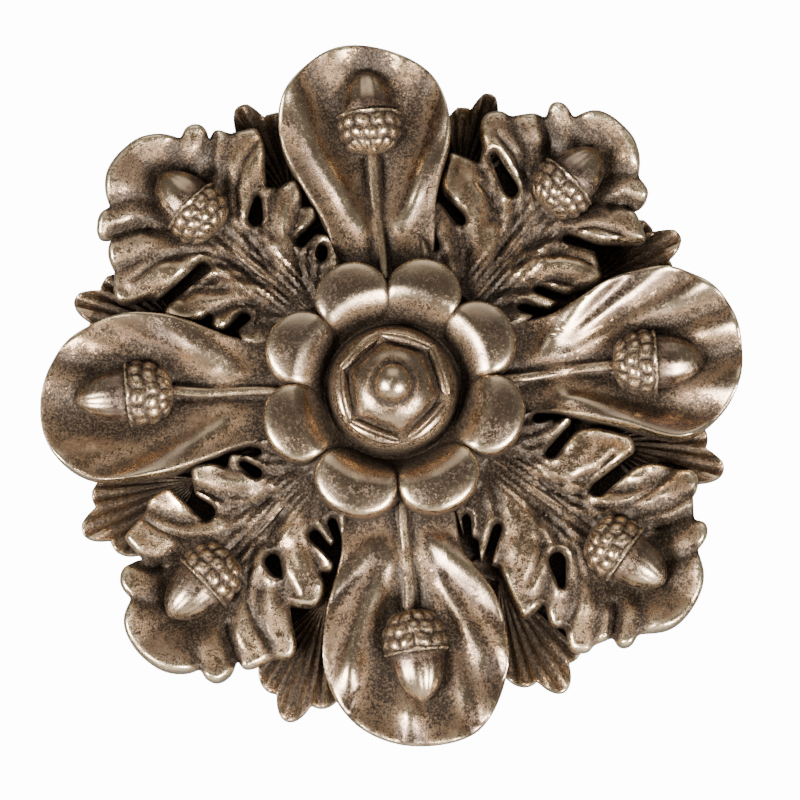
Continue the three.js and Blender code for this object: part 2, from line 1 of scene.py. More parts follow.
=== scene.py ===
"""Looks of the cast flower wall ornament.

The ornament is one casting, so it is one piece here too. Each form of it, such as a leaf, an
acorn or a petal, is built as a closed shell in a plan of its own: x to the right, y up the wall
and z off the wall, in millimetres, centred on the back disc. The shells are joined into one
solid, turned into the frame, and given the rubbed bronze leaf finish.
"""

import json
import logging
import math
from dataclasses import dataclass, field
from enum import Enum
from typing import Callable

import bpy
import numpy as np
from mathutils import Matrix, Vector, geometry
from mathutils.kdtree import KDTree

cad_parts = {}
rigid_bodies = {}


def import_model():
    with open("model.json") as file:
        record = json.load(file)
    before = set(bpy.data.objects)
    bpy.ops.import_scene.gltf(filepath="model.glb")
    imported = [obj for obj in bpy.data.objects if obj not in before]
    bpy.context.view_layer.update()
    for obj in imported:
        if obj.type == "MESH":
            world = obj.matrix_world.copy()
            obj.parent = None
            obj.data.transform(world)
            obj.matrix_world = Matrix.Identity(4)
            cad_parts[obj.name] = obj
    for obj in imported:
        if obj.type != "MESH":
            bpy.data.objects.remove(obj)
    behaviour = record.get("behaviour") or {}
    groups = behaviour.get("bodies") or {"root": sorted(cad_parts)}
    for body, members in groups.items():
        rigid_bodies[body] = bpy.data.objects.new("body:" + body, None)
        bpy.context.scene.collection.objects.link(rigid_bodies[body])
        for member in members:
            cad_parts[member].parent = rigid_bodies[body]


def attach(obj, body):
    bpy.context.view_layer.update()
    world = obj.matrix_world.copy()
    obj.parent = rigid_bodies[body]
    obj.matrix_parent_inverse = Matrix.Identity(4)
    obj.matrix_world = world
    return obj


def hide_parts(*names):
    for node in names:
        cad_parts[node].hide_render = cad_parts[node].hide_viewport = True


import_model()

LOG = logging.getLogger("ornament")
CASTING_NODE = "rosette_casting"

MM = 0.001
SEED = 7

# The crown of leaves sits a little high and is a touch taller than it is wide. Its fine edges
# stay a hair inside those of the solid.
CROWN_RISE = 1.0
CROWN_STRETCH = 1.01
CROWN_FIT = 0.998
LEAF_ROOT = 30.0

# Widths of the soft rim of a cast edge, as distances in from the edge.
RIM_RADIUS = 1.3
RIM_STEPS = (0.15, 0.45, 0.9, 1.5)

# Rows of points run this far to each side of a crease, and this far apart along it.
CREASE_SIDE = 0.55
CREASE_STEP = 0.8

# Patina that undersides and the poles of turned forms keep.
UNDERSIDE_HOLLOW = 0.8
POLE_HOLLOW = 0.3

# Heights and patina are worked out from places in the plan and one more value for each place.
Heights = Callable[[np.ndarray, np.ndarray], np.ndarray]


class Hollow(Enum):
    """How much dark patina a stem keeps."""

    RUBBED = 0.22
    DULL = 0.42


@dataclass(frozen=True)
class Acorn:
    """An acorn on its leaf, drawn with the leaf's axis pointing up."""

    side: float
    foot: float
    stretch: float
    lean: float


@dataclass(frozen=True)
class OvateDrawing:
    """A plain cupped leaf: its edge, its folds, its acorn, and how far its folded tip bends back."""

    degrees: float
    edge: tuple[tuple[float, float], ...]
    folds: tuple[tuple[float, float, float], ...]
    acorn: Acorn
    flare: float = 0.0


@dataclass(frozen=True)
class OakDrawing:
    """A lobed oak leaf: outline corners (across, out, rounding), eyes, pits, veins and acorn."""

    degrees: float
    outline: tuple[tuple[float, ...], ...]
    eyes: tuple[tuple[tuple[float, float, float], tuple[float, float, float]], ...]
    pits: tuple[tuple[float, float], ...]
    veins: tuple[tuple[float, float], ...]
    acorn: Acorn


@dataclass
class Shell:
    """A closed triangle shell in the plan, in millimetres, with its own hollow value per point."""

    points: np.ndarray
    faces: np.ndarray
    hollow: np.ndarray


def smoothstep(values: np.ndarray, low: float, high: float) -> np.ndarray:
    """Returns 0 below low, 1 above high, and a smooth rise between."""
    share = np.clip((values - low) / (high - low), 0.0, 1.0)
    return share * share * (3.0 - 2.0 * share)


def bell(values: np.ndarray, width: float) -> np.ndarray:
    """Returns a bell curve of that half width, 1 at zero."""
    return np.exp(-((values / width) ** 2))


def hand_ripple(points: np.ndarray, length: float, seed: int) -> np.ndarray:
    """Adds up waves in mixed directions, as the uneven surface that modelling by hand leaves.

    Args:
        points: Places in the plan, in millimetres.
        length: Typical wave length, in millimetres.
        seed: Seed of the directions and phases.

    Returns:
        Values of about -1 to 1, one per point.
    """
    random = np.random.default_rng(SEED + seed)
    total = np.zeros(len(points))
    waves = 9
    for _ in range(waves):
        angle, phase = random.uniform(0, 2 * math.pi, 2)
        scale = 2 * math.pi / (length * random.uniform(0.7, 1.6))
        along = points[:, 0] * math.cos(angle) + points[:, 1] * math.sin(angle)
        total += np.sin(along * scale + phase)
    return total / math.sqrt(waves)


def pointed(shell: Shell, degrees: float) -> Shell:
    """Turns a shell of the crown from the y axis to its own direction.

    Args:
        shell: The shell, made along +y.
        degrees: Direction in the plan, counter-clockwise from +x.

    Returns:
        The same shell, moved.
    """
    shell = turned(shell, degrees)
    shell.points[:, :2] *= CROWN_FIT
    shell.points[:, 1] = shell.points[:, 1] * CROWN_STRETCH + CROWN_RISE
    return shell


def turned(shell: Shell, degrees: float) -> Shell:
    """Turns a shell made along +y to a direction in the plan and returns it."""
    rotate(shell.points, math.radians(degrees - 90))
    return shell


def rotate(points: np.ndarray, angle: float) -> None:
    """Turns points round the centre of the plan, in place.

    Args:
        points: Rows of x, y and z.
        angle: The turn, in radians.
    """
    x, y = points[:, 0].copy(), points[:, 1].copy()
    points[:, 0] = x * math.cos(angle) - y * math.sin(angle)
    points[:, 1] = x * math.sin(angle) + y * math.cos(angle)


def rim_drop(distance: np.ndarray, radius: float) -> np.ndarray:
    """Returns how far a round rim falls at a distance in from the edge."""
    inside = np.clip(distance, 0.0, radius)
    return radius - np.sqrt(np.maximum(radius**2 - (radius - inside) ** 2, 0.0))


def smooth_edge(corners: tuple[tuple[float, float], ...], count: int) -> np.ndarray:
    """Spreads points evenly on a smooth closed curve through corners.

    Args:
        corners: Places on the curve, in order.
        count: How many points to spread.

    Returns:
        The points, counter-clockwise, as an array of count rows.
    """
    ring = np.array(corners, float)
    fine = []
    for index in range(len(ring)):
        p = [ring[(index + shift) % len(ring)] for shift in (-1, 0, 1, 2)]
        gap = [math.sqrt(np.linalg.norm(p[i + 1] - p[i])) for i in range(3)]
        out = (p[1] - p[0]) / gap[0] - (p[2] - p[0]) / (gap[0] + gap[1]) + (p[2] - p[1]) / gap[1]
        into = (p[2] - p[1]) / gap[1] - (p[3] - p[1]) / (gap[1] + gap[2]) + (p[3] - p[2]) / gap[2]
        out, into = out * gap[1], into * gap[1]
        for share in np.linspace(0, 1, 40, endpoint=False):
            square, cube = share**2, share**3
            fine.append(
                p[1] * (2 * cube - 3 * square + 1)
                + out * (cube - 2 * square + share)
                + p[2] * (3 * square - 2 * cube)
                + into * (cube - square)
            )
    edge = even_loop(np.array(fine), count)
    return edge if loop_area(edge) > 0 else edge[::-1]


def even_loop(loop: np.ndarray, count: int) -> np.ndarray:
    """Returns count points spread evenly along a closed line.

    Args:
        loop: Rows of x and y.
        count: How many points to spread.

    Returns:
        The points, in the order of the line.
    """
    closed = np.vstack([loop, loop[:1]])
    lengths = np.linalg.norm(np.diff(closed, axis=0), axis=1)
    along = np.concatenate([[0], np.cumsum(lengths)])
    spots = np.linspace(0, along[-1], count, endpoint=False)
    return np.column_stack([np.interp(spots, along, closed[:, axis]) for axis in (0, 1)])


def loop_area(loop: np.ndarray) -> float:
    """Returns the area inside a closed line, above zero where it runs counter-clockwise."""
    after = np.roll(loop, -1, axis=0)
    return 0.5 * float(np.sum(loop[:, 0] * after[:, 1] - after[:, 0] * loop[:, 1]))


def bands(sides: int, count: int, first: int = 0) -> np.ndarray:
    """Returns the triangles between rings of corners that follow each other.

    Args:
        sides: Corners in each ring.
        count: How many bands lie between the rings.
        first: Number of the first ring's first corner.

    Returns:
        Triangles that face up where the rings grow counter-clockwise.
    """
    here = np.arange(sides)
    after = (here + 1) % sides
    faces = []
    for low in first + sides * np.arange(count):
        high = low + sides
        faces.append(np.column_stack([low + here, high + here, high + after]))
        faces.append(np.column_stack([low + here, high + after, low + after]))
    return np.vstack(faces)


def pad(
    edge: np.ndarray,
    middle: tuple[float, float],
    rings: int,
    top: Heights,
    bottom: Callable[[np.ndarray], np.ndarray],
    hollow: Heights,
    rim: float = RIM_RADIUS,
) -> Shell:
    """Builds a closed pad on rings that run from a middle point out to the edge.

    Args:
        edge: Counter-clockwise corners of the edge.
        middle: Where the rings start.
        rings: How many rings lie inside the rim.
        top: Height at places, given the share of the way from the middle to the edge.
        bottom: Height of the underside at places.
        hollow: Patina value at places, given the same share.
        rim: Radius of the soft rim.

    Returns:
        The pad as a shell.
    """
    centre = np.array(middle, float)
    reach = np.linalg.norm(edge - centre, axis=1)
    steps = np.array(RIM_STEPS[::-1]) * rim / RIM_RADIUS
    inner = 1 - (steps[0] + 0.6) / reach
    shares = [inner * share for share in np.linspace(1 / rings, 1, rings)]
    shares += [1 - step / reach for step in steps]
    shares.append(np.ones(len(edge)))
    share = np.concatenate([np.zeros(1), *shares])
    spots = np.vstack([centre[None], *[centre + s[:, None] * (edge - centre) for s in shares]])
    from_edge = (1 - share) * np.concatenate([[reach.min()], np.tile(reach, len(shares))])
    height = top(spots, share) - rim_drop(from_edge, rim)
    below = np.column_stack([edge, bottom(edge)])
    under = np.array([[*centre, bottom(centre[None])[0]]])
    points = np.vstack([np.column_stack([spots, height]), below, under])
    values = hollow(spots, share)
    values = np.concatenate([values, np.full(len(edge) + 1, UNDERSIDE_HOLLOW)])
    sides = len(edge)
    here = np.arange(sides)
    after = (here + 1) % sides
    last = 1 + len(shares) * sides
    faces = [
        np.column_stack([np.zeros(sides, int), 1 + here, 1 + after]),
        bands(sides, len(shares), 1),
        np.column_stack([np.full(sides, len(points) - 1), last + after, last + here]),
    ]
    return Shell(points, np.vstack(faces), values)


def rounded_loop(corners: tuple[tuple[float, ...], ...]) -> np.ndarray:
    """Returns a closed line through corners, each rounded off by its own length.

    Args:
        corners: Each corner's x and y, and its rounding where it has one.

    Returns:
        The line as rows of x and y.
    """
    places = [np.array(corner[:2], float) for corner in corners]
    line = []
    for index, corner in enumerate(corners):
        rounding = corner[2] if len(corner) > 2 else 0.0
        here = places[index]
        ends = [places[index - 1], places[(index + 1) % len(places)]]
        if rounding == 0:
            line.append(here)
            continue
        start, end = [
            here + (other - here) * min(rounding / np.linalg.norm(other - here), 0.5)
            for other in ends
        ]
        for share in np.linspace(0, 1, 6):
            line.append(
                start * (1 - share) ** 2 + here * 2 * share * (1 - share) + end * share**2
            )
    return np.array(line)


def eye_loop(inner: tuple[float, float, float], mouth: tuple[float, float, float]) -> np.ndarray:
    """Returns the outline of a tapered eye round its wide inner end and its mouth.

    Args:
        inner: Place and radius of the inner end.
        mouth: Place and radius of the mouth.

    Returns:
        The outline as rows of x and y.
    """
    start, end = np.array(inner[:2]), np.array(mouth[:2])
    run = end - start
    along = math.atan2(run[1], run[0])
    spread = math.acos((inner[2] - mouth[2]) / float(np.linalg.norm(run)))
    wide = np.linspace(along + spread, along - spread + 2 * math.pi, 16)
    narrow = np.linspace(along - spread, along + spread, 10)
    return np.vstack(
        [
            start + inner[2] * np.column_stack([np.cos(wide), np.sin(wide)]),
            end + mouth[2] * np.column_stack([np.cos(narrow), np.sin(narrow)]),
        ]
    )


def inside_loops(points: np.ndarray, loops: list[np.ndarray]) -> np.ndarray:
    """Tells which points lie inside a set of closed lines, by the even-odd rule.

    Args:
        points: Places in the plan.
        loops: The closed lines.

    Returns:
        True for each point inside.
    """
    crossings = np.zeros(len(points), int)
    for loop in loops:
        after = np.roll(loop, -1, axis=0)
        for (x0, y0), (x1, y1) in zip(loop, after):
            if y0 == y1:
                continue
            spans = (points[:, 1] >= min(y0, y1)) & (points[:, 1] < max(y0, y1))
            cross = x0 + (points[:, 1] - y0) * (x1 - x0) / (y1 - y0)
            crossings += spans & (points[:, 0] < cross)
    return crossings % 2 == 1


def distance_to_lines(points: np.ndarray, lines: list[np.ndarray], closed: bool) -> np.ndarray:
    """Returns the distance of each point to the nearest of some lines.

    Args:
        points: Places in the plan.
        lines: Lines as rows of points.
        closed: Whether each line runs back to its start.

    Returns:
        One distance per point.
    """
    nearest = np.full(len(points), 1e9)
    for line in lines:
        starts = line if closed else line[:-1]
        ends = np.roll(line, -1, axis=0) if closed else line[1:]
        for start, end in zip(starts, ends):
            run = end - start
            share = np.clip(((points - start) @ run) / max(run @ run, 1e-12), 0, 1)
            gap = points - start - share[:, None] * run
            nearest = np.minimum(nearest, np.einsum("ij,ij->i", gap, gap))
    return np.sqrt(nearest)


def keep_lines(points: np.ndarray, loops: list[np.ndarray]) -> tuple[np.ndarray, np.ndarray]:
    """Triangulates loose points and closed lines, with the lines' edges kept.

    Args:
        points: Loose points, none of them on a line.
        loops: Closed lines.

    Returns:
        All points, and triangles that run counter-clockwise.
    """
    edges = []
    first = 0
    for loop in loops:
        edges += [(first + i, first + (i + 1) % len(loop)) for i in range(len(loop))]
        first += len(loop)
    every = np.vstack([*loops, points]) if len(points) else np.vstack(loops)
    made = geometry.delaunay_2d_cdt([Vector(p) for p in every], edges, [], 0, 1e-6)
    spots = np.array([tuple(p) for p in made[0]])
    faces = np.array([f for f in made[2] if len(f) == 3])
    corners = spots[faces]
    a, b = corners[:, 1] - corners[:, 0], corners[:, 2] - corners[:, 0]
    flip = a[:, 0] * b[:, 1] - a[:, 1] * b[:, 0] < 0
    faces[flip] = faces[flip][:, ::-1]
    return spots, faces


def triangulate(points: np.ndarray, loops: list[np.ndarray]) -> tuple[np.ndarray, np.ndarray]:
    """Triangulates loose points inside closed lines.

    Args:
        points: Loose points, none of them on a line.
        loops: Closed lines whose edges are kept.

    Returns:
        All points, those of the lines first, and counter-clockwise triangles inside the lines.
    """
    spots, faces = keep_lines(points, loops)
    return spots, faces[inside_loops(spots[faces].mean(axis=1), loops)]


def border_edges(faces: np.ndarray) -> dict[int, int]:
    """Returns each border corner of a triangulation with the next one along the border.

    Args:
        faces: Counter-clockwise triangles.

    Returns:
        The next corner by corner.
    """
    runs = [tuple(edge) for face in faces.tolist() for edge in zip(face, face[1:] + face[:1])]
    known = set(runs)
    return {start: end for start, end in runs if (end, start) not in known}


def border_loops(faces: np.ndarray) -> list[list[int]]:
    """Returns the closed border lines of a triangulation as lists of corners.

    Args:
        faces: Counter-clockwise triangles.

    Returns:
        One list of corners for each line.
    """
    following = border_edges(faces)
    loops = []
    while following:
        start, here = following.popitem()
        loop = [start]
        while here != start and here in following:
            loop.append(here)
            here = following.pop(here)
        loops.append(loop)
    return loops


def cut_out(outline: np.ndarray, eyes: list[np.ndarray], spacing: float) -> list[np.ndarray]:
    """Takes eyes out of an outline and softens what is left.

    Args:
        outline: Closed outer line.
        eyes: Closed lines of the holes and notches, which may cross the outline.
        spacing: Distance between the points of the result.

    Returns:
        Closed lines with the solid on their left.
    """
    spots, faces = keep_lines(np.zeros((0, 2)), [outline, *eyes])
    middles = spots[faces].mean(axis=1)
    keep = inside_loops(middles, [outline])
    for eye in eyes:
        keep &= ~inside_loops(middles, [eye])
    softened = []
    for loop in border_loops(faces[keep]):
        line = spots[loop]
        if abs(loop_area(line)) < 3:
            continue
        length = np.linalg.norm(line - np.roll(line, 1, axis=0), axis=1).sum()
        line = even_loop(line, max(int(length / spacing), 8))
        for _ in range(2):
            line = 0.5 * line + 0.25 * (np.roll(line, 1, axis=0) + np.roll(line, -1, axis=0))
        softened.append(line)
    outer = max(softened, key=loop_area)
    return [outer] + [line for line in softened if loop_area(line) < 0]


def spaced(line: np.ndarray, step: float) -> np.ndarray:
    """Returns points about a step apart along an open line.

    Args:
        line: Rows of x and y.
        step: About how far apart the points come to lie.

    Returns:
        The points, with both ends of the line.
    """
    lengths = np.linalg.norm(np.diff(line, axis=0), axis=1)
    along = np.concatenate([[0], np.cumsum(lengths)])
    spots = np.linspace(0, along[-1], max(int(along[-1] / step), 2))
    return np.column_stack([np.interp(spots, along, line[:, axis]) for axis in (0, 1)])


def plate(
    loops: list[np.ndarray],
    cell: float,
    creases: list[np.ndarray],
    top: Heights,
    bottom: Callable[[np.ndarray], np.ndarray],
    hollow: Heights,
) -> Shell:
    """Builds a closed plate inside closed lines, finer along its rims and creases.

    Args:
        loops: Closed lines with the solid on their left.
        cell: Distance between the points of the open surface.
        creases: Open lines that the surface folds along.
        top: Height at places, given their distance in from the edge.
        bottom: Height of the underside at places.
        hollow: Patina value at places, given the same distance.

    Returns:
        The plate as a shell.
    """
    loose = []
    for loop in loops:
        run = np.roll(loop, -1, axis=0) - np.roll(loop, 1, axis=0)
        inward = np.column_stack([-run[:, 1], run[:, 0]])
        inward /= np.maximum(np.linalg.norm(inward, axis=1), 1e-9)[:, None]
        for step in RIM_STEPS:
            ring = loop + inward * step
            gap = distance_to_lines(ring, loops, closed=True)
            ring = ring[(gap > 0.9 * step) & inside_loops(ring, loops)]
            loose.append(ring)
    lines = [spaced(crease, cell * 0.8) for crease in creases]
    rows = []
    for line in lines:
        run = np.gradient(line, axis=0)
        across = np.column_stack([-run[:, 1], run[:, 0]])
        across /= np.maximum(np.linalg.norm(across, axis=1), 1e-9)[:, None]
        rows += [line + across * shift for shift in (-CREASE_SIDE, 0, CREASE_SIDE)]
    if rows:
        row = np.vstack(rows)
        clear = distance_to_lines(row, loops, closed=True) > RIM_STEPS[-1] + 0.3
        loose.append(row[clear & inside_loops(row, loops)])
    low, high = loops[0].min(axis=0), loops[0].max(axis=0)
    columns = np.arange(low[0], high[0], cell)
    grid = []
    for index, y in enumerate(np.arange(low[1], high[1], cell * math.sqrt(3) / 2)):
        shift = cell / 2 * (index % 2)
        grid.append(np.column_stack([columns + shift, np.full(len(columns), y)]))
    grid = np.vstack(grid)
    grid = grid[inside_loops(grid, loops)]
    grid = grid[distance_to_lines(grid, loops, closed=True) > RIM_STEPS[-1] + 0.4 * cell]
    if lines:
        grid = grid[distance_to_lines(grid, lines, closed=False) > CREASE_SIDE + 0.4 * cell]
    loose.append(grid)
    spots, faces = triangulate(np.vstack(loose), loops)
    used = np.unique(faces)
    renumber = np.full(len(spots), -1)
    renumber[used] = np.arange(len(used))
    spots, faces = spots[used], renumber[faces]
    gap = distance_to_lines(spots, loops, closed=True)
    height = top(spots, gap) - rim_drop(gap, RIM_RADIUS)
    borders = border_loops(faces)
    border = np.array([corner for loop in borders for corner in loop])
    under, under_faces = triangulate(np.zeros((0, 2)), [spots[loop] for loop in borders])
    tree = KDTree(len(border))
    for index, corner in enumerate(border):
        tree.insert((*spots[corner], 0), index)
    tree.balance()
    match = np.array([tree.find((*p, 0))[1] for p in under])
    total = len(spots)
    below = np.column_stack([spots[border], bottom(spots[border])])
    place = {int(corner): total + index for index, corner in enumerate(border)}
    walls = []
    for start, end in border_edges(faces).items():
        walls.append([start, place[start], place[end]])
        walls.append([start, place[end], end])
    points = np.vstack([np.column_stack([spots, height]), below])
    every = np.vstack([faces, total + match[under_faces][:, ::-1], np.array(walls)])
    values = np.concatenate([hollow(spots, gap), np.full(len(border), UNDERSIDE_HOLLOW)])
    return Shell(points, every, values)


def lathe(
    profile: np.ndarray,
    angles: np.ndarray,
    hollow: Heights,
    swell: Heights | None = None,
) -> Shell:
    """Turns a profile round the z axis.

    Args:
        profile: Rows of radius and height that start and end on the axis.
        angles: Directions of the corners, in radians, rising.
        hollow: Patina value, given the angle and the height.
        swell: How far a corner stands out, given the angle and the height.

    Returns:
        The turned shell.
    """
    sides = len(angles)
    rings = profile[1:-1]
    angle = np.tile(angles, len(rings))
    radius = np.repeat(rings[:, 0], sides)
    height = np.repeat(rings[:, 1], sides)
    if swell is not None:
        radius = radius + swell(angle, height)
    body = np.column_stack([radius * np.cos(angle), radius * np.sin(angle), height])
    ends = np.array([[0, 0, profile[0, 1]], [0, 0, profile[-1, 1]]])
    points = np.vstack([body, ends])
    start, end = len(body), len(body) + 1
    here = np.arange(sides)
    after = (here + 1) % sides
    last = (len(rings) - 1) * sides
    faces = [
        np.column_stack([np.full(sides, start), after, here]),
        bands(sides, len(rings) - 1)[:, ::-1],
        np.column_stack([np.full(sides, end), last + here, last + after]),
    ]
    values = np.concatenate([hollow(angle, height), np.full(2, POLE_HOLLOW)])
    return Shell(points, np.vstack(faces), values)


def bar(path: np.ndarray, radii: np.ndarray, sides: int, groove: float, hollow: float) -> Shell:
    """Sweeps a round bar along a path that runs mostly along y.

    Args:
        path: Rows of points along the bar.
        radii: Radius at each point.
        sides: Corners round the bar.
        groove: Share of the radius cut out along the top, for a twin-ridged stem.
        hollow: Patina value of the bar.

    Returns:
        The bar as a shell.
    """
    angles = np.linspace(0, 2 * math.pi, sides, endpoint=False)
    shape = 1 - groove * bell(np.angle(np.exp(1j * (angles - math.pi / 2))), 0.5)
    rings = []
    for (x, y, z), radius in zip(path, radii):
        ring = np.column_stack(
            [
                x + radius * shape * np.cos(angles),
                np.full(sides, y),
                z + radius * shape * np.sin(angles),
            ]
        )
        rings.append(ring)
    points = np.vstack([*rings, path[:1], path[-1:]])
    count = len(path)
    here = np.arange(sides)
    after = (here + 1) % sides
    last = (count - 1) * sides
    faces = [
        np.column_stack([np.full(sides, count * sides), here, after]),
        bands(sides, count - 1),
        np.column_stack([np.full(sides, count * sides + 1), last + after, last + here]),
    ]
    return Shell(points, np.vstack(faces), np.full(len(points), hollow))


@dataclass
class Slope:
    """An underside that rises evenly from the root of a leaf."""

    root: float
    slope: float

    def at(self, places: np.ndarray) -> np.ndarray:
        """Returns the height of the underside at places in the plan."""
        return self.root + self.slope * (places[:, 1] - LEAF_ROOT)


@dataclass
class AcornForm:
    """The acorns: a cup of pillow-shaped scales and a ribbed nut, on a stem from the root."""

    length: float = 24.0
    cup_length: float = 11.0
    cup_radius: float = 8.7
    nut_radius: float = 7.2
    stem_radius: float = 1.4
    scales_round: int = 12
    scale_rows: float = 3.2
    scale_relief: float = 0.95
    ribs: int = 14
    rib_relief: float = 0.13

    def profile(self) -> np.ndarray:
        """Returns the radius and distance along the acorn, from its foot to its point.

        Returns:
            Rows of radius and distance.
        """
        cup = [
            (self.cup_radius * (1 - (1 - share) ** 3) ** 0.42, share * self.cup_length)
            for share in np.linspace(0, 1, 25)
        ]
        lip = [
            (self.cup_radius - 0.35, self.cup_length + 0.35),
            (self.nut_radius + 0.25, self.cup_length + 0.4),
            (self.nut_radius - 0.1, self.cup_length + 0.1),
        ]
        rise = self.length - self.cup_length
        nut = [
            (
                self.nut_radius * (1 - share**2.3) ** 0.62,
                self.cup_length + 0.1 + share * (rise - 0.1),
            )
            for share in np.sin(np.linspace(0, math.pi / 2, 15))[1:]
        ]
        return np.array(cup + lip + nut)

    def shell(self, acorn: Acorn, height: float, degrees: float) -> Shell:
        """Builds one acorn and lays it on its leaf.

        Args:
            acorn: Place, stretch and lean of the acorn on the drawn leaf.
            height: Height of its axis off the wall.
            degrees: Direction of the leaf.

        Returns:
            The acorn as a shell.
        """
        upper = np.radians(np.linspace(-20, 200, 62))
        lower = np.radians(np.linspace(200, 340, 9)[1:-1])
        angles = np.concatenate([upper, lower])

        def pillows(angle: np.ndarray, along: np.ndarray) -> np.ndarray:
            """Returns 0 in the grooves between scales and 1 on their middles.

            Args:
                angle: Direction round the acorn.
                along: Distance along the acorn.

            Returns:
                One value for each corner.
            """
            row = self.scale_rows * along / self.cup_length + 0.09 * np.sin(5 * angle)
            turn = angle * self.scales_round / (2 * math.pi) + 0.5 * np.floor(row)
            turn = turn + 0.07 * np.sin(2.7 * angle + 2 * np.floor(row))
            return np.abs(np.sin(math.pi * row) * np.sin(math.pi * turn))

        def swell(angle: np.ndarray, along: np.ndarray) -> np.ndarray:
            """Returns the relief of the scales and ribs.

            Args:
                angle: Direction round the acorn.
                along: Distance along the acorn.

            Returns:
                How far each corner stands out, in millimetres.
            """
            scales = self.scale_relief * (pillows(angle, along) ** 0.45 - 0.65)
            scales = scales * smoothstep(along, 0.3, 1.5)
            ribs = self.rib_relief * np.abs(np.cos(self.ribs * angle / 2 + 0.6 * np.sin(3 * angle)))
            nut = along > self.cup_length + 0.05
            fade = 1 - smoothstep(along, self.length - 4, self.length)
            return np.where(nut, (ribs - self.rib_relief / 2) * fade, scales)

        def hollow(angle: np.ndarray, along: np.ndarray) -> np.ndarray:
            """Returns the patina: dark between the scales and under the lip, rubbed on the nut.

            Args:
                angle: Direction round the acorn.
                along: Distance along the acorn.

            Returns:
                One value for each corner, from 0 rubbed to 1 dark.
            """
            nut = along > self.cup_length + 0.05
            lip = 0.05 + 0.5 * bell(along - self.cup_length, 0.8)
            return np.where(nut, lip, 0.7 - 0.6 * pillows(angle, along) ** 0.6)

        shell = lathe(self.profile(), angles, hollow, swell)
        x, up, along = shell.points.T
        shell.points = np.column_stack([x, along * acorn.stretch, up])
        shell.faces = shell.faces[:, ::-1]
        rotate(shell.points, math.radians(-acorn.lean))
        shell.points += np.array([acorn.side, acorn.foot, height])
        return pointed(shell, degrees)

    def stem(
        self,
        acorn: Acorn,
        crown: np.ndarray,
        degrees: float,
        groove: float,
        rise: float,
        patina: Hollow,
    ) -> Shell:
        """Lays the stem along its leaf, from the root to the foot of the acorn.

        Args:
            acorn: Place of the acorn on the drawn leaf.
            crown: Stations of distance and height along the leaf.
            degrees: Direction of the leaf.
            groove: Share of the radius cut out along the top.
            rise: How far the stem's axis lies above the crown.
            patina: How much patina the stem keeps.

        Returns:
            The stem as a shell.
        """
        share = np.linspace(0, 1, 26)
        out = LEAF_ROOT + share * (acorn.foot + 1 - LEAF_ROOT)
        across = acorn.side * share + 0.25 * np.sin(share * 7)
        height = np.interp(out, crown[:, 0], crown[:, 1]) + rise
        radii = self.stem_radius * (0.85 + 0.25 * share)
        path = np.column_stack([across, out, height])
        return pointed(bar(path, radii, 12, groove, patina.value), degrees)


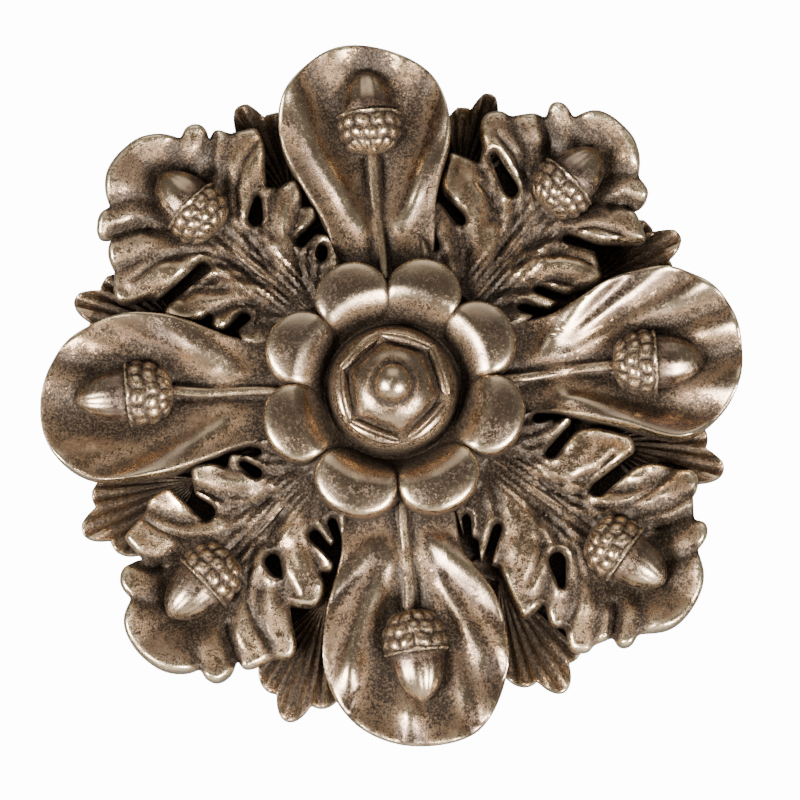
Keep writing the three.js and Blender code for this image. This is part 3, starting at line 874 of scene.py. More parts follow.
@dataclass
class OvateLeaf:
    """The plain leaves on the axes: cupped round their acorns, folded towards the margin."""

    crown: np.ndarray = field(
        default_factory=lambda: np.array(
            [(LEAF_ROOT, 18.0), (50, 15.5), (66, 15.5), (80, 15.5), (97, 17.0)]
        )
    )
    heart: float = 66.0
    opened: float = 52.0
    cupping: float = 5.2
    fold_root: float = 35.0
    fold_height: float = 4.0
    fold_width: float = 0.9
    channel_depth: float = 0.9
    sides: int = 140
    rings: int = 29
    acorn_height: float = 18.0
    underside: Slope = field(default_factory=lambda: Slope(2.0, 0.205))
    acorns: AcornForm = field(default_factory=AcornForm)

    def shells(self, leaf: OvateDrawing) -> list[Shell]:
        """Builds one leaf with its stem and acorn.

        Args:
            leaf: The drawing of the leaf.

        Returns:
            The shells of the blade, the stem and the acorn.
        """
        edge = smooth_edge(leaf.edge, self.sides)
        fruit = leaf.acorn
        middle = fruit.foot + self.acorns.length * fruit.stretch / 2

        def folds(places: np.ndarray, share: np.ndarray) -> np.ndarray:
            """Returns the height of the folds that spread from the root.

            Args:
                places: Places in the plan of the leaf, before it is turned.
                share: Share of the way from the middle to the edge.

            Returns:
                One value for each place, 0 between the folds.
            """
            out = places[:, 1] - self.fold_root
            wave = np.zeros(len(places))
            for at, width, size in leaf.folds:
                tilt = math.radians(at)
                along = places[:, 0] * math.sin(tilt) + out * math.cos(tilt)
                across = places[:, 0] * math.cos(tilt) - out * math.sin(tilt)
                spread = self.fold_width * width * (0.55 + along / 70)
                wave += (size * bell(across, spread) * smoothstep(along, 2, 14)) ** 3
            return np.cbrt(wave) * smoothstep(share, 0.15, 0.75)

        def top(places: np.ndarray, share: np.ndarray) -> np.ndarray:
            """Returns the height of the blade.

            Args:
                places: Places in the plan of the leaf, before it is turned.
                share: Share of the way from the middle to the edge.

            Returns:
                One height for each place, in millimetres.
            """
            base = np.interp(places[:, 1], self.crown[:, 0], self.crown[:, 1])
            opened = smoothstep(places[:, 1], LEAF_ROOT, self.opened)
            fold = folds(places, share)
            cup = self.cupping * share**3 * (1 - leaf.flare * np.minimum(1.4 * fold, 1))
            tip = leaf.flare * smoothstep(places[:, 1], 62, 78)
            fall = 1 - 0.6 * tip * smoothstep(share, 0.7, 1)
            lift = (cup + self.fold_height * fold * fall) * opened
            beside = np.abs(places[:, 0] - fruit.side * opened) - 2.2
            channel = self.channel_depth * bell(beside, 1.3) * (places[:, 1] < fruit.foot)
            return base + lift - channel + 0.1 * hand_ripple(places, 12, int(leaf.degrees))

        def hollow(places: np.ndarray, share: np.ndarray) -> np.ndarray:
            """Returns the patina: densest round the acorn and in the valleys between folds.

            Args:
                places: Places in the plan of the leaf, before it is turned.
                share: Share of the way from the middle to the edge.

            Returns:
                One value for each place, from 0 rubbed to 1 dark.
            """
            gap = np.hypot(places[:, 0] - fruit.side, (places[:, 1] - middle) * 0.75)
            near = bell(np.maximum(gap - 6, 0), 9)
            fold = np.clip(1.4 * folds(places, share), 0, 1)
            valley = 0.3 * (1 - fold) * share - 0.2 * fold
            beside = bell(np.abs(places[:, 0]) - 2.2, 2.4) * (places[:, 1] < fruit.foot)
            return np.clip(0.18 + 0.34 * near + valley + 0.22 * beside, 0, 1)

        blade = pad(edge, (0, self.heart), self.rings, top, self.underside.at, hollow)
        return [
            pointed(blade, leaf.degrees),
            self.acorns.stem(fruit, self.crown, leaf.degrees, 0.25, 0.5, Hollow.RUBBED),
            self.acorns.shell(fruit, self.acorn_height, leaf.degrees),
        ]


@dataclass
class OakLeaf:
    """The lobed leaves on the diagonals: puffed lobes, deep eyes and creased veins."""

    crown: np.ndarray = field(
        default_factory=lambda: np.array(
            [(LEAF_ROOT, 17.5), (50, 14.0), (66, 12.5), (80, 12.0), (97, 14.5)]
        )
    )
    swell: float = 2.4
    swell_width: float = 30.0
    puff: float = 2.6
    puff_width: float = 5.2
    rim: float = 0.8
    rim_width: float = 1.3
    pit_depth: float = 2.2
    pit_width: float = 1.4
    crease_depth: float = 0.8
    crease_width: float = 0.8
    flow_relief: float = 0.12
    flow_spacing: float = 4.2
    bowl: float = 3.2
    rib_relief: float = 0.42
    rib_pitch: float = 2.1
    lip: float = 0.55
    hood: float = 1.5
    channel_depth: float = 0.8
    channel_width: float = 3.5
    cell: float = 0.84
    spacing: float = 0.7
    acorn_height: float = 15.0
    underside: Slope = field(default_factory=lambda: Slope(1.5, 0.12))
    acorns: AcornForm = field(default_factory=AcornForm)

    def vein(self, side: int, tip: float) -> np.ndarray:
        """Returns the line of a vein from beside the midrib out into its lobe.

        Args:
            side: Which side of the leaf, -1 or 1.
            tip: How far out the lobe's tip lies.

        Returns:
            Points along the line.
        """
        length = 0.32 * tip
        spots = [(0.12, tip - 0.68 * length), (0.28, tip - 0.33 * length)]
        spots += [(0.5, tip - 0.08 * length), (0.8, tip + 0.06 * length)]
        spots += [(1.12, tip + 0.12 * length)]
        return spaced(np.array([(side * out * length, y) for out, y in spots]), CREASE_STEP)

    def valley(self, across: float, out: float, radius: float) -> np.ndarray:
        """Returns the line of the valley that runs from an eye in to the midrib.

        Args:
            across: Place of the eye across the leaf.
            out: Place of the eye out along the leaf.
            radius: Radius of the eye.

        Returns:
            Points along the line.
        """
        side = math.copysign(1, across)
        reach = abs(across)
        spots = [(reach + radius, out + radius), (reach, out), (0.6 * reach, out - 0.3 * reach)]
        spots += [(0.35 * reach, out - 0.7 * reach), (0.25 * reach, out - 1.1 * reach)]
        return spaced(np.array([(side * x, y) for x, y in spots]), CREASE_STEP)

    def clefts(self, leaf: OakDrawing) -> list[np.ndarray]:
        """Returns the creases that run in from every notch of the outline.

        Args:
            leaf: The drawing of the leaf.

        Returns:
            Points along each crease.
        """
        corners = [np.array(corner[:2]) for corner in leaf.outline]
        lines = []
        for before, here, after in zip(corners, corners[1:], corners[2:]):
            entry, leave = here - before, after - here
            if entry[0] * leave[1] - entry[1] * leave[0] <= 0:
                continue
            aim = np.array([0.3 * here[0], here[1] - 0.5 * abs(here[0])])
            bend = 0.5 * (here + aim) + np.array([0, 0.08 * abs(here[0])])
            end = here + 0.8 * (aim - here)
            lines.append(spaced(np.array([here, bend, end]), CREASE_STEP))
        return lines

    def pit_lines(self, leaf: OakDrawing) -> list[np.ndarray]:
        """Returns the deep furrows beside the shell that holds the acorn."""
        lines = [[(1.45 * x, y + 3.5), (x, y), (0.9 * x, y - 2)] for x, y in leaf.pits]
        return [spaced(np.array(line), CREASE_STEP) for line in lines]

    def shells(self, leaf: OakDrawing) -> list[Shell]:
        """Builds one leaf with its stem and acorn.

        Args:
            leaf: The drawing of the leaf.

        Returns:
            The shells of the blade, the stem and the acorn.
        """
        eyes = [eye_loop(inner, mouth) for inner, mouth in leaf.eyes]
        loops = cut_out(rounded_loop(leaf.outline), eyes, self.spacing)
        veins = [self.vein(int(side), tip) for side, tip in leaf.veins]
        valleys = [self.valley(*inner) for inner, mouth in leaf.eyes]
        valleys += self.clefts(leaf)
        pits = self.pit_lines(leaf)
        fruit = leaf.acorn
        middle = fruit.foot + self.acorns.length * fruit.stretch / 2

        def top(places: np.ndarray, gap: np.ndarray) -> np.ndarray:
            """Returns the height of the blade.

            Args:
                places: Places in the plan of the leaf, before it is turned.
                gap: Distance in from the edge.

            Returns:
                One height for each place, in millimetres.
            """
            across = np.abs(places[:, 0])
            base = np.interp(places[:, 1], self.crown[:, 0], self.crown[:, 1])
            arch = self.swell * np.sin(math.pi * np.minimum(across / self.swell_width, 1))
            crease = distance_to_lines(places, veins, closed=False)
            inward = np.minimum(distance_to_lines(places, valleys, closed=False), gap + 2.5)
            puffed = self.puff * (1 - (1 - np.minimum(inward / self.puff_width, 1)) ** 2)
            puffed += self.rim * (1 - (1 - np.minimum(gap / self.rim_width, 1)) ** 2)
            puffed += self.lip * bell(gap - 1.3, 0.8)
            lobes = smoothstep(across, 3, 8) * (1 - smoothstep(crease, 5, 8))
            flow = self.flow_relief * np.cos(2 * math.pi * crease / self.flow_spacing) * -lobes
            groove = self.crease_depth * bell(crease, self.crease_width)
            pit = distance_to_lines(places, pits, closed=False)
            groove += self.pit_depth * bell(pit, self.pit_width)
            fruited = np.hypot(places[:, 0] - fruit.side, (places[:, 1] - middle) * 0.8)
            shell = smoothstep(places[:, 1], fruit.foot - 2, fruit.foot + 8)
            bowl = self.bowl * (smoothstep(fruited, 6, 17) - 0.75) * shell
            shaft = places[:, 1] < fruit.foot
            spread = (places[:, 1] - LEAF_ROOT) / 35
            beam = across / (0.75 + 0.6 * spread)
            ribs = self.rib_relief * np.cos(2 * math.pi * beam / self.rib_pitch)
            ribs = ribs * shaft * (1 - smoothstep(beam, 4, 10)) * smoothstep(places[:, 1], 33, 40)
            channel = self.channel_depth * bell(across, self.channel_width) * shaft
            tip = smoothstep(places[:, 1], fruit.foot + 16, fruit.foot + 28)
            hood = self.hood * tip * (1 - smoothstep(across, 8, 16))
            ripple = 0.1 * hand_ripple(places, 9, int(leaf.degrees))
            relief = (puffed - 0.85 * self.puff) * (1 - 0.45 * shell) + flow + bowl - groove
            return base + arch + relief + ribs - channel + hood + ripple

        def hollow(places: np.ndarray, gap: np.ndarray) -> np.ndarray:
            """Returns the patina: in the creases, along the midrib and round the acorn.

            Args:
                places: Places in the plan of the leaf, before it is turned.
                gap: Distance in from the edge; not used here.

            Returns:
                One value for each place, from 0 rubbed to 1 dark.
            """
            crease = distance_to_lines(places, veins, closed=False)
            round_acorn = np.hypot(places[:, 0] - fruit.side, (places[:, 1] - middle) * 0.75)
            near = bell(np.maximum(round_acorn - 6, 0), 7)
            shaft = bell(places[:, 0], 5) * (places[:, 1] < fruit.foot + 4)
            valley = bell(distance_to_lines(places, valleys, closed=False), 1.8)
            tip = 0.12 * smoothstep(places[:, 1], fruit.foot, fruit.foot + 8)
            root = 0.4 * (1 - smoothstep(places[:, 1], 34, 48))
            pit = bell(distance_to_lines(places, pits, closed=False), 1.5)
            lines = 0.2 * bell(crease, 0.8) + 0.35 * valley + 0.6 * pit
            value = 0.16 + tip + 0.3 * near + 0.25 * shaft + lines + root
            return np.clip(value, 0, 1)

        blade = plate(loops, self.cell, veins, top, self.underside.at, hollow)
        return [
            pointed(blade, leaf.degrees),
            self.acorns.stem(fruit, self.crown, leaf.degrees, 0.4, -0.6, Hollow.DULL),
            self.acorns.shell(fruit, self.acorn_height, leaf.degrees),
        ]


@dataclass
class Fan:
    """The low fans behind the leaves: hollow flutes between sharp ridges, scalloped at the tip."""

    focus: float = 58.0
    base: float = 50.0
    base_half_width: float = 8.0
    flutes: int = 5
    pitch: float = 14.5
    steps: tuple[float, ...] = (9.0, 5.2, 0.0, 5.2, 9.0)
    notches: tuple[float, ...] = (1.3, 1.3, 3.3, 1.3, 1.3)
    relief: float = 1.7
    height: float = 8.0
    droop: float = 1.5
    underside: tuple[float, float] = (1.0, 3.0)
    rings: int = 9

    def shell(self, degrees: float, reach: float) -> Shell:
        """Builds one fan.

        Args:
            degrees: Direction of the fan.
            reach: How far its middle flute reaches from the centre.

        Returns:
            The fan as a shell.
        """
        half = self.flutes / 2
        turns = np.linspace(half, -half, self.flutes * 16 + 1)
        centres = np.arange(-(self.flutes // 2), self.flutes // 2 + 1)
        across = 2 * (turns[:, None] - centres[None])
        lengths = reach - self.focus - np.array(self.steps)
        scallop = lengths[None] - np.array(self.notches)[None] * across**2
        length = scallop.max(axis=1)
        angle = np.radians(90 - turns * self.pitch)
        arc = np.column_stack([length * np.cos(angle), self.focus + length * np.sin(angle)])
        edge = np.vstack(
            [arc[::-1], [(-self.base_half_width, self.base), (self.base_half_width, self.base)]]
        )
        if loop_area(edge) < 0:
            edge = edge[::-1]

        def flute(places: np.ndarray) -> np.ndarray:
            """Returns 0 on the floor of a flute and 1 on the ridge beside it.

            Args:
                places: Places in the plan of the fan.

            Returns:
                One value for each place.
            """
            turn = np.degrees(np.arctan2(places[:, 0], places[:, 1] - self.focus)) / self.pitch
            turn = np.clip(turn, -half, half)
            return np.abs(2 * (2 * turn - np.round(2 * turn))) ** 2.6

        def top(places: np.ndarray, share: np.ndarray) -> np.ndarray:
            """Returns the height of the fan.

            Args:
                places: Places in the plan of the fan.
                share: Share of the way from the middle to the edge.

            Returns:
                One height for each place, in millimetres.
            """
            spread = smoothstep(share, 0.05, 0.6)
            curl = self.droop * share - 0.8 * share**4
            return self.height - curl + self.relief * spread * (flute(places) - 0.45)

        def bottom(places: np.ndarray) -> np.ndarray:
            """Returns the height of the underside."""
            return np.interp(places[:, 1], (self.base, reach), self.underside)

        def hollow(places: np.ndarray, share: np.ndarray) -> np.ndarray:
            """Returns the patina, dark all over and less so on the ridges and the rim."""
            return 0.48 - 0.5 * flute(places) - 0.25 * share**3

        fan = pad(edge, (0, self.focus), self.rings, top, bottom, hollow, rim=0.9)
        return pointed(fan, degrees)


@dataclass
class Petal:
    """The petals round the boss: a steep slope out of the groove, a crest and a round rim."""

    centre: float = 28.2
    inside: float = 18.7
    depth: float = 17.9
    corners: tuple[tuple[float, float], ...] = (
        (0, 36.6), (4.4, 35.7), (8.0, 33.0), (10.0, 29.0), (9.7, 25.0), (7.9, 20.8), (4.0, 18.8),
        (0, 18.7),
    )
    drawn_width: float = 20.0
    crest: float = 29.5
    crest_share: float = 0.52
    foot: float = 20.5
    tip: float = 28.0
    roundness: float = 1.9
    underside: float = 16.0
    rim: float = 1.5
    sides: int = 68

    def shell(self, degrees: float, width: float) -> Shell:
        """Builds one petal.

        Args:
            degrees: Direction of the petal.
            width: How wide it is across.

        Returns:
            The petal as a shell.
        """
        mirrored = tuple((-x, y) for x, y in self.corners[-2:0:-1])
        edge = smooth_edge(self.corners + mirrored, self.sides)
        edge[:, 0] *= width / self.drawn_width

        def top(places: np.ndarray, share: np.ndarray) -> np.ndarray:
            """Returns the height of the petal.

            Args:
                places: Places in the plan of the petal.
                share: Share of the way from the middle to the edge; not used here.

            Returns:
                One height for each place, in millimetres.
            """
            out = (np.hypot(places[:, 0], places[:, 1]) - self.inside) / self.depth
            climb = np.maximum(1 - out / self.crest_share, 0) ** 1.8
            fall = np.maximum(out - self.crest_share, 0) / (1 - self.crest_share)
            slope = (self.crest - self.foot) * climb + (self.crest - self.tip) * fall**1.8
            slope = slope + self.roundness * (2 * places[:, 0] / width) ** 2
            return self.crest - slope + 0.06 * hand_ripple(places, 11, int(degrees))

        def hollow(places: np.ndarray, share: np.ndarray) -> np.ndarray:
            """Returns the patina: only the slope into the groove and the very edge keep it."""
            out = (np.hypot(places[:, 0], places[:, 1]) - self.inside) / self.depth
            return np.clip(0.04 + 0.55 * (1 - smoothstep(out, 0.0, 0.42)) + 0.15 * share**14, 0, 1)

        petal = pad(edge, (0, self.centre), 12, top, self.flat_back, hollow, rim=self.rim)
        return turned(petal, degrees)

    def flat_back(self, places: np.ndarray) -> np.ndarray:
        """Returns the height of the flat underside."""
        return np.full(len(places), self.underside)


@dataclass
class Boss:
    """The domed middle: a ring, six lens-shaped leaves round a dome, and a round knob."""

    hub_height: float = 20.0
    radius: float = 17.5
    foot: float = 21.5
    shoulder: float = 28.0
    dome_radius: float = 11.5
    dome_height: float = 35.0
    knob_radius: float = 5.2
    lens_degrees: tuple[float, ...] = (18.5, 74, 132.8, 189, 247.6, 314.5)
    corner_reach: float = 1.3
    lens_centre: float = 13.7
    lens_length: float = 14.4
    lens_width: float = 4.3
    lens_relief: float = 1.35

    def profile(self) -> np.ndarray:
        """Returns the radius and height of the boss from its foot to the top of the knob.

        Returns:
            Rows of radius and height.
        """
        low = self.hub_height - 1
        rows = [(0, low), (self.radius + 1.5, low), (self.radius + 0.5, self.foot - 1)]
        for angle in np.linspace(0, 90, 10):
            rows.append(
                (
                    self.radius - 3 + 3 * math.cos(math.radians(angle)),
                    self.foot + (self.shoulder - self.foot) * math.sin(math.radians(angle)),
                )
            )
        rows += [(13.4, self.shoulder - 0.3), (12.3, self.shoulder - 0.4)]
        rise = self.dome_height - self.shoulder
        for angle in np.linspace(11, 74, 13):
            rows.append(
                (
                    self.dome_radius * math.cos(math.radians(angle)) ** 0.8,
                    self.shoulder - 0.6 + (rise + 0.4) * math.sin(math.radians(angle)) ** 1.1,
                )
            )
        rows = [row for row in rows if row[0] > self.knob_radius or row[0] == 0]
        rows.append((self.knob_radius - 0.15, self.dome_height - 0.9))
        for angle in np.linspace(-8, 84, 13):
            rows.append(
                (
                    self.knob_radius * math.cos(math.radians(angle)),
                    self.dome_height + self.knob_radius * math.sin(math.radians(angle)),
                )
            )
        rows.append((0, self.dome_height + self.knob_radius))
        return np.array(rows)

    def shells(self) -> list[Shell]:
        """Builds the boss and its lens leaves.

        Returns:
            The shell of the boss, and those of the lens leaves.
        """
        angles = np.linspace(0, 2 * math.pi, 96, endpoint=False)

        def hollow(angle: np.ndarray, height: np.ndarray) -> np.ndarray:
            """Returns the patina: heavy on the outer slope and in the groove round the knob.

            Args:
                angle: Direction round the boss; not used here.
                height: Height off the wall.

            Returns:
                One value for each corner, from 0 rubbed to 1 dark.
            """
            ring = 0.6 * (1 - smoothstep(height, self.foot + 2, self.shoulder - 0.2))
            shelf = 0.15 * bell(height - self.shoulder, 0.8)
            knob = 0.6 * bell(height - self.dome_height + 0.6, 0.7)
            return np.clip(0.06 + ring + shelf + knob, 0, 1)

        ends = [(a + b) / 2 for a, b in zip(self.lens_degrees, self.lens_degrees[1:])]
        ends.append((self.lens_degrees[-1] + self.lens_degrees[0] + 360) / 2 - 360)

        def swell(angle: np.ndarray, height: np.ndarray) -> np.ndarray:
            """Returns how far the foot of the dome reaches out between the lens leaves.

            Args:
                angle: Direction round the boss.
                height: Height off the wall.

            Returns:
                How far each corner stands out, in millimetres.
            """
            corner = np.zeros(len(angle))
            for end in ends:
                turn = np.degrees(angle) - end
                corner = np.maximum(corner, bell((turn + 180) % 360 - 180, 12))
            foot = bell(height - self.shoulder - 0.5, 1.6) * (height > self.shoulder - 0.25)
            return self.corner_reach * (corner - 0.3) * foot

        shells = [lathe(self.profile(), angles, hollow, swell)]
        shells += [self.lens(degrees) for degrees in self.lens_degrees]
        return shells

    def lens(self, degrees: float) -> Shell:
        """Builds one lens leaf, with a line cut along it.

        Args:
            degrees: Direction of the lens leaf.

        Returns:
            The lens leaf as a shell.
        """
        angle = np.linspace(0, 2 * math.pi, 44, endpoint=False)
        bow = self.lens_width / 2 * np.sign(np.sin(angle)) * np.abs(np.sin(angle)) ** 1.15
        edge = np.column_stack([self.lens_length / 2 * np.cos(angle), self.lens_centre + bow])
        edge[:, 1] -= 0.012 * edge[:, 0] ** 2

        def top(places: np.ndarray, share: np.ndarray) -> np.ndarray:
            """Returns the height of the lens leaf."""
            line = 0.35 * bell(places[:, 1] - self.lens_centre + 0.012 * places[:, 0] ** 2, 0.35)
            return self.shoulder + self.lens_relief * (1 - share**2) - line * (share < 0.97)

        def hollow(places: np.ndarray, share: np.ndarray) -> np.ndarray:
            """Returns the patina: in the cut line and round the edge."""
            line = bell(places[:, 1] - self.lens_centre + 0.012 * places[:, 0] ** 2, 0.4)
            return 0.12 + 0.3 * line + 0.05 * share**6

        def bottom(places: np.ndarray) -> np.ndarray:
            """Returns the height of the underside, inside the boss."""
            return np.full(len(places), self.foot)

        lens = pad(edge, (0, self.lens_centre), 9, top, bottom, hollow, rim=0.5)
        return turned(lens, degrees)


@dataclass
class Back:
    """The back disc, the hub that carries leaves and boss, and the keyhole slot in the back."""

    disc_radius: float = 78.0
    disc_thickness: float = 4.0
    hub_radius: float = 33.0
    hub_height: float = 20.0
    collar_radius: float = 23.5
    collar_height: float = 25.0
    groove_radius: float = 18.8
    entry_radius: float = 4.5
    neck_width: float = 4.6
    lip: float = 2.5
    depth: float = 7.0
    run: float = 12.0
    entry_height: float = 20.0

    def shell(self) -> Shell:
        """Builds the disc and the hub.

        Returns:
            The disc and the hub as one shell.
        """
        chamfer = self.disc_thickness / 3
        profile = np.array(
            [
                (0, 0),
                (self.disc_radius - chamfer, 0),
                (self.disc_radius, chamfer),
                (self.disc_radius, self.disc_thickness),
                (self.hub_radius + 5, self.disc_thickness + 2),
                (self.hub_radius, self.hub_height - 5),
                (self.hub_radius - 4, self.hub_height),
                (self.collar_radius + 2, self.collar_height),
                (self.collar_radius, self.collar_height),
                (self.groove_radius, self.hub_height),
                (0, self.hub_height),
            ]
        )
        angles = np.linspace(0, 2 * math.pi, 120, endpoint=False)

        def hollow(angle: np.ndarray, height: np.ndarray) -> np.ndarray:
            """Returns the patina: the dark ground shows, less so on the collar of the hub."""
            return 0.85 - 0.5 * smoothstep(height, self.hub_height - 1, self.collar_height)

        return lathe(profile, angles, hollow)

    def slot(self) -> list[Shell]:
        """Builds the keyhole: a round entry, a head run behind the lip and a narrow neck.

        Returns:
            The shells that are cut out together.
        """
        past = 1.0
        top = self.entry_height + self.run
        return [
            self.standing(self.entry_radius, -past, self.depth, self.entry_height),
            self.standing(self.entry_radius, self.lip, self.depth - 0.01, top),
            self.straight(2 * self.entry_radius, self.lip, self.depth - 0.02),
            self.standing(self.neck_width / 2, -past, self.depth - 0.03, top),
            self.straight(self.neck_width, -past, self.depth - 0.04),
        ]

    def standing(self, radius: float, low: float, high: float, y: float) -> Shell:
        """Builds a round pillar of the slot.

        Args:
            radius: Radius of the pillar.
            low: Where it starts, off the wall.
            high: Where it ends, off the wall.
            y: Where its axis lies, above the centre.

        Returns:
            The pillar as a shell.
        """
        angles = np.linspace(0, 2 * math.pi, 32, endpoint=False)
        profile = np.array([(0, low), (radius, low), (radius, high), (0, high)])
        shell = lathe(profile, angles, lambda angle, height: np.full(len(angle), 0.95))
        shell.points[:, 1] += y
        return shell

    def straight(self, width: float, low: float, high: float) -> Shell:
        """Builds a straight block of the slot.

        Args:
            width: Width of the block.
            low: Where it starts, off the wall.
            high: Where it ends, off the wall.

        Returns:
            The block as a shell.
        """
        half = width / 2
        y0, y1 = self.entry_height, self.entry_height + self.run
        corners = [(x, y) for x, y in ((-half, y0), (half, y0), (half, y1), (-half, y1))]
        points = np.array([(x, y, z) for z in (low, high) for x, y in corners])
        faces = [(0, 2, 1), (0, 3, 2), (4, 5, 6), (4, 6, 7)]
        for side in range(4):
            after = (side + 1) % 4
            faces += [(side, after, 4 + after), (side, 4 + after, 4 + side)]
        return Shell(points, np.array(faces), np.full(8, 0.95))


# Fans are given as direction and reach.
FANS = (
    (29, 90.5), (72, 87.5), (118, 90.5), (163.5, 91.5), (204, 93), (252, 93.5), (300, 93.5),
    (347, 93),
)

# Petals are given as direction and width.
PETALS = (
    (29.8, 21), (72, 20.3), (114, 20.3), (156.4, 20.3), (200.3, 21.5), (248.6, 22.9), (297, 22.7),
    (344.7, 21.9),
)

# Folds are given as degrees from the leaf's axis, seen from the root, half width and height.
OVATE_LEAVES = (
    OvateDrawing(
        degrees=4.6,
        edge=(
            (-13, 30), (-17, 46), (-25.5, 65), (-26, 80), (-16, 92.5), (0, 95.3), (12, 90.5),
            (20, 78), (15, 61), (10, 43), (7.5, 30),
        ),
        folds=((-45, 5, 1), (-33, 4, 0.8), (-21, 4, 0.9), (-9, 4, 0.8), (7, 5, 0.9), (25, 5, 0.9)),
        acorn=Acorn(-1.8, 60, 1.05, 2),
    ),
    OvateDrawing(
        degrees=94.7,
        edge=(
            (-10, 30), (-15, 46), (-25, 69), (-24, 81), (-14, 91.5), (-1.5, 94), (9, 90.5),
            (18, 84), (21.5, 69), (16.5, 53), (11, 30),
        ),
        folds=((-25, 5, 1), (-8, 5, 0.6), (10, 5, 0.5), (29, 5, 1)),
        acorn=Acorn(-0.5, 64.3, 0.98, 0),
    ),
    OvateDrawing(
        degrees=182,
        edge=(
            (-10, 30), (-15, 44), (-21.5, 65), (-21.5, 84), (-12.5, 94), (0, 95.7), (14, 89.5),
            (21.5, 77), (21.7, 61), (16, 45), (11, 30),
        ),
        folds=((-32, 5, 0.6), (-17, 5, 0.5), (5, 4, 0.4), (17, 4, 0.5), (34, 7, 0.9)),
        acorn=Acorn(1.6, 59.7, 1.12, -4),
    ),
    OvateDrawing(
        degrees=274.9,
        edge=(
            (-12, 30), (-15, 44), (-23.5, 60), (-24.5, 78), (-15, 94), (3, 96.5), (17, 90),
            (24.5, 77), (24, 62), (18, 44), (15, 30),
        ),
        folds=((-46, 8, 1.2), (-25, 4, 0.8), (-14, 3, 0.8), (3, 4, 1.1), (25, 5, 1.2), (50, 6, 0.9)),
        acorn=Acorn(0.4, 60, 1.05, -3),
        flare=1.0,
    ),
)

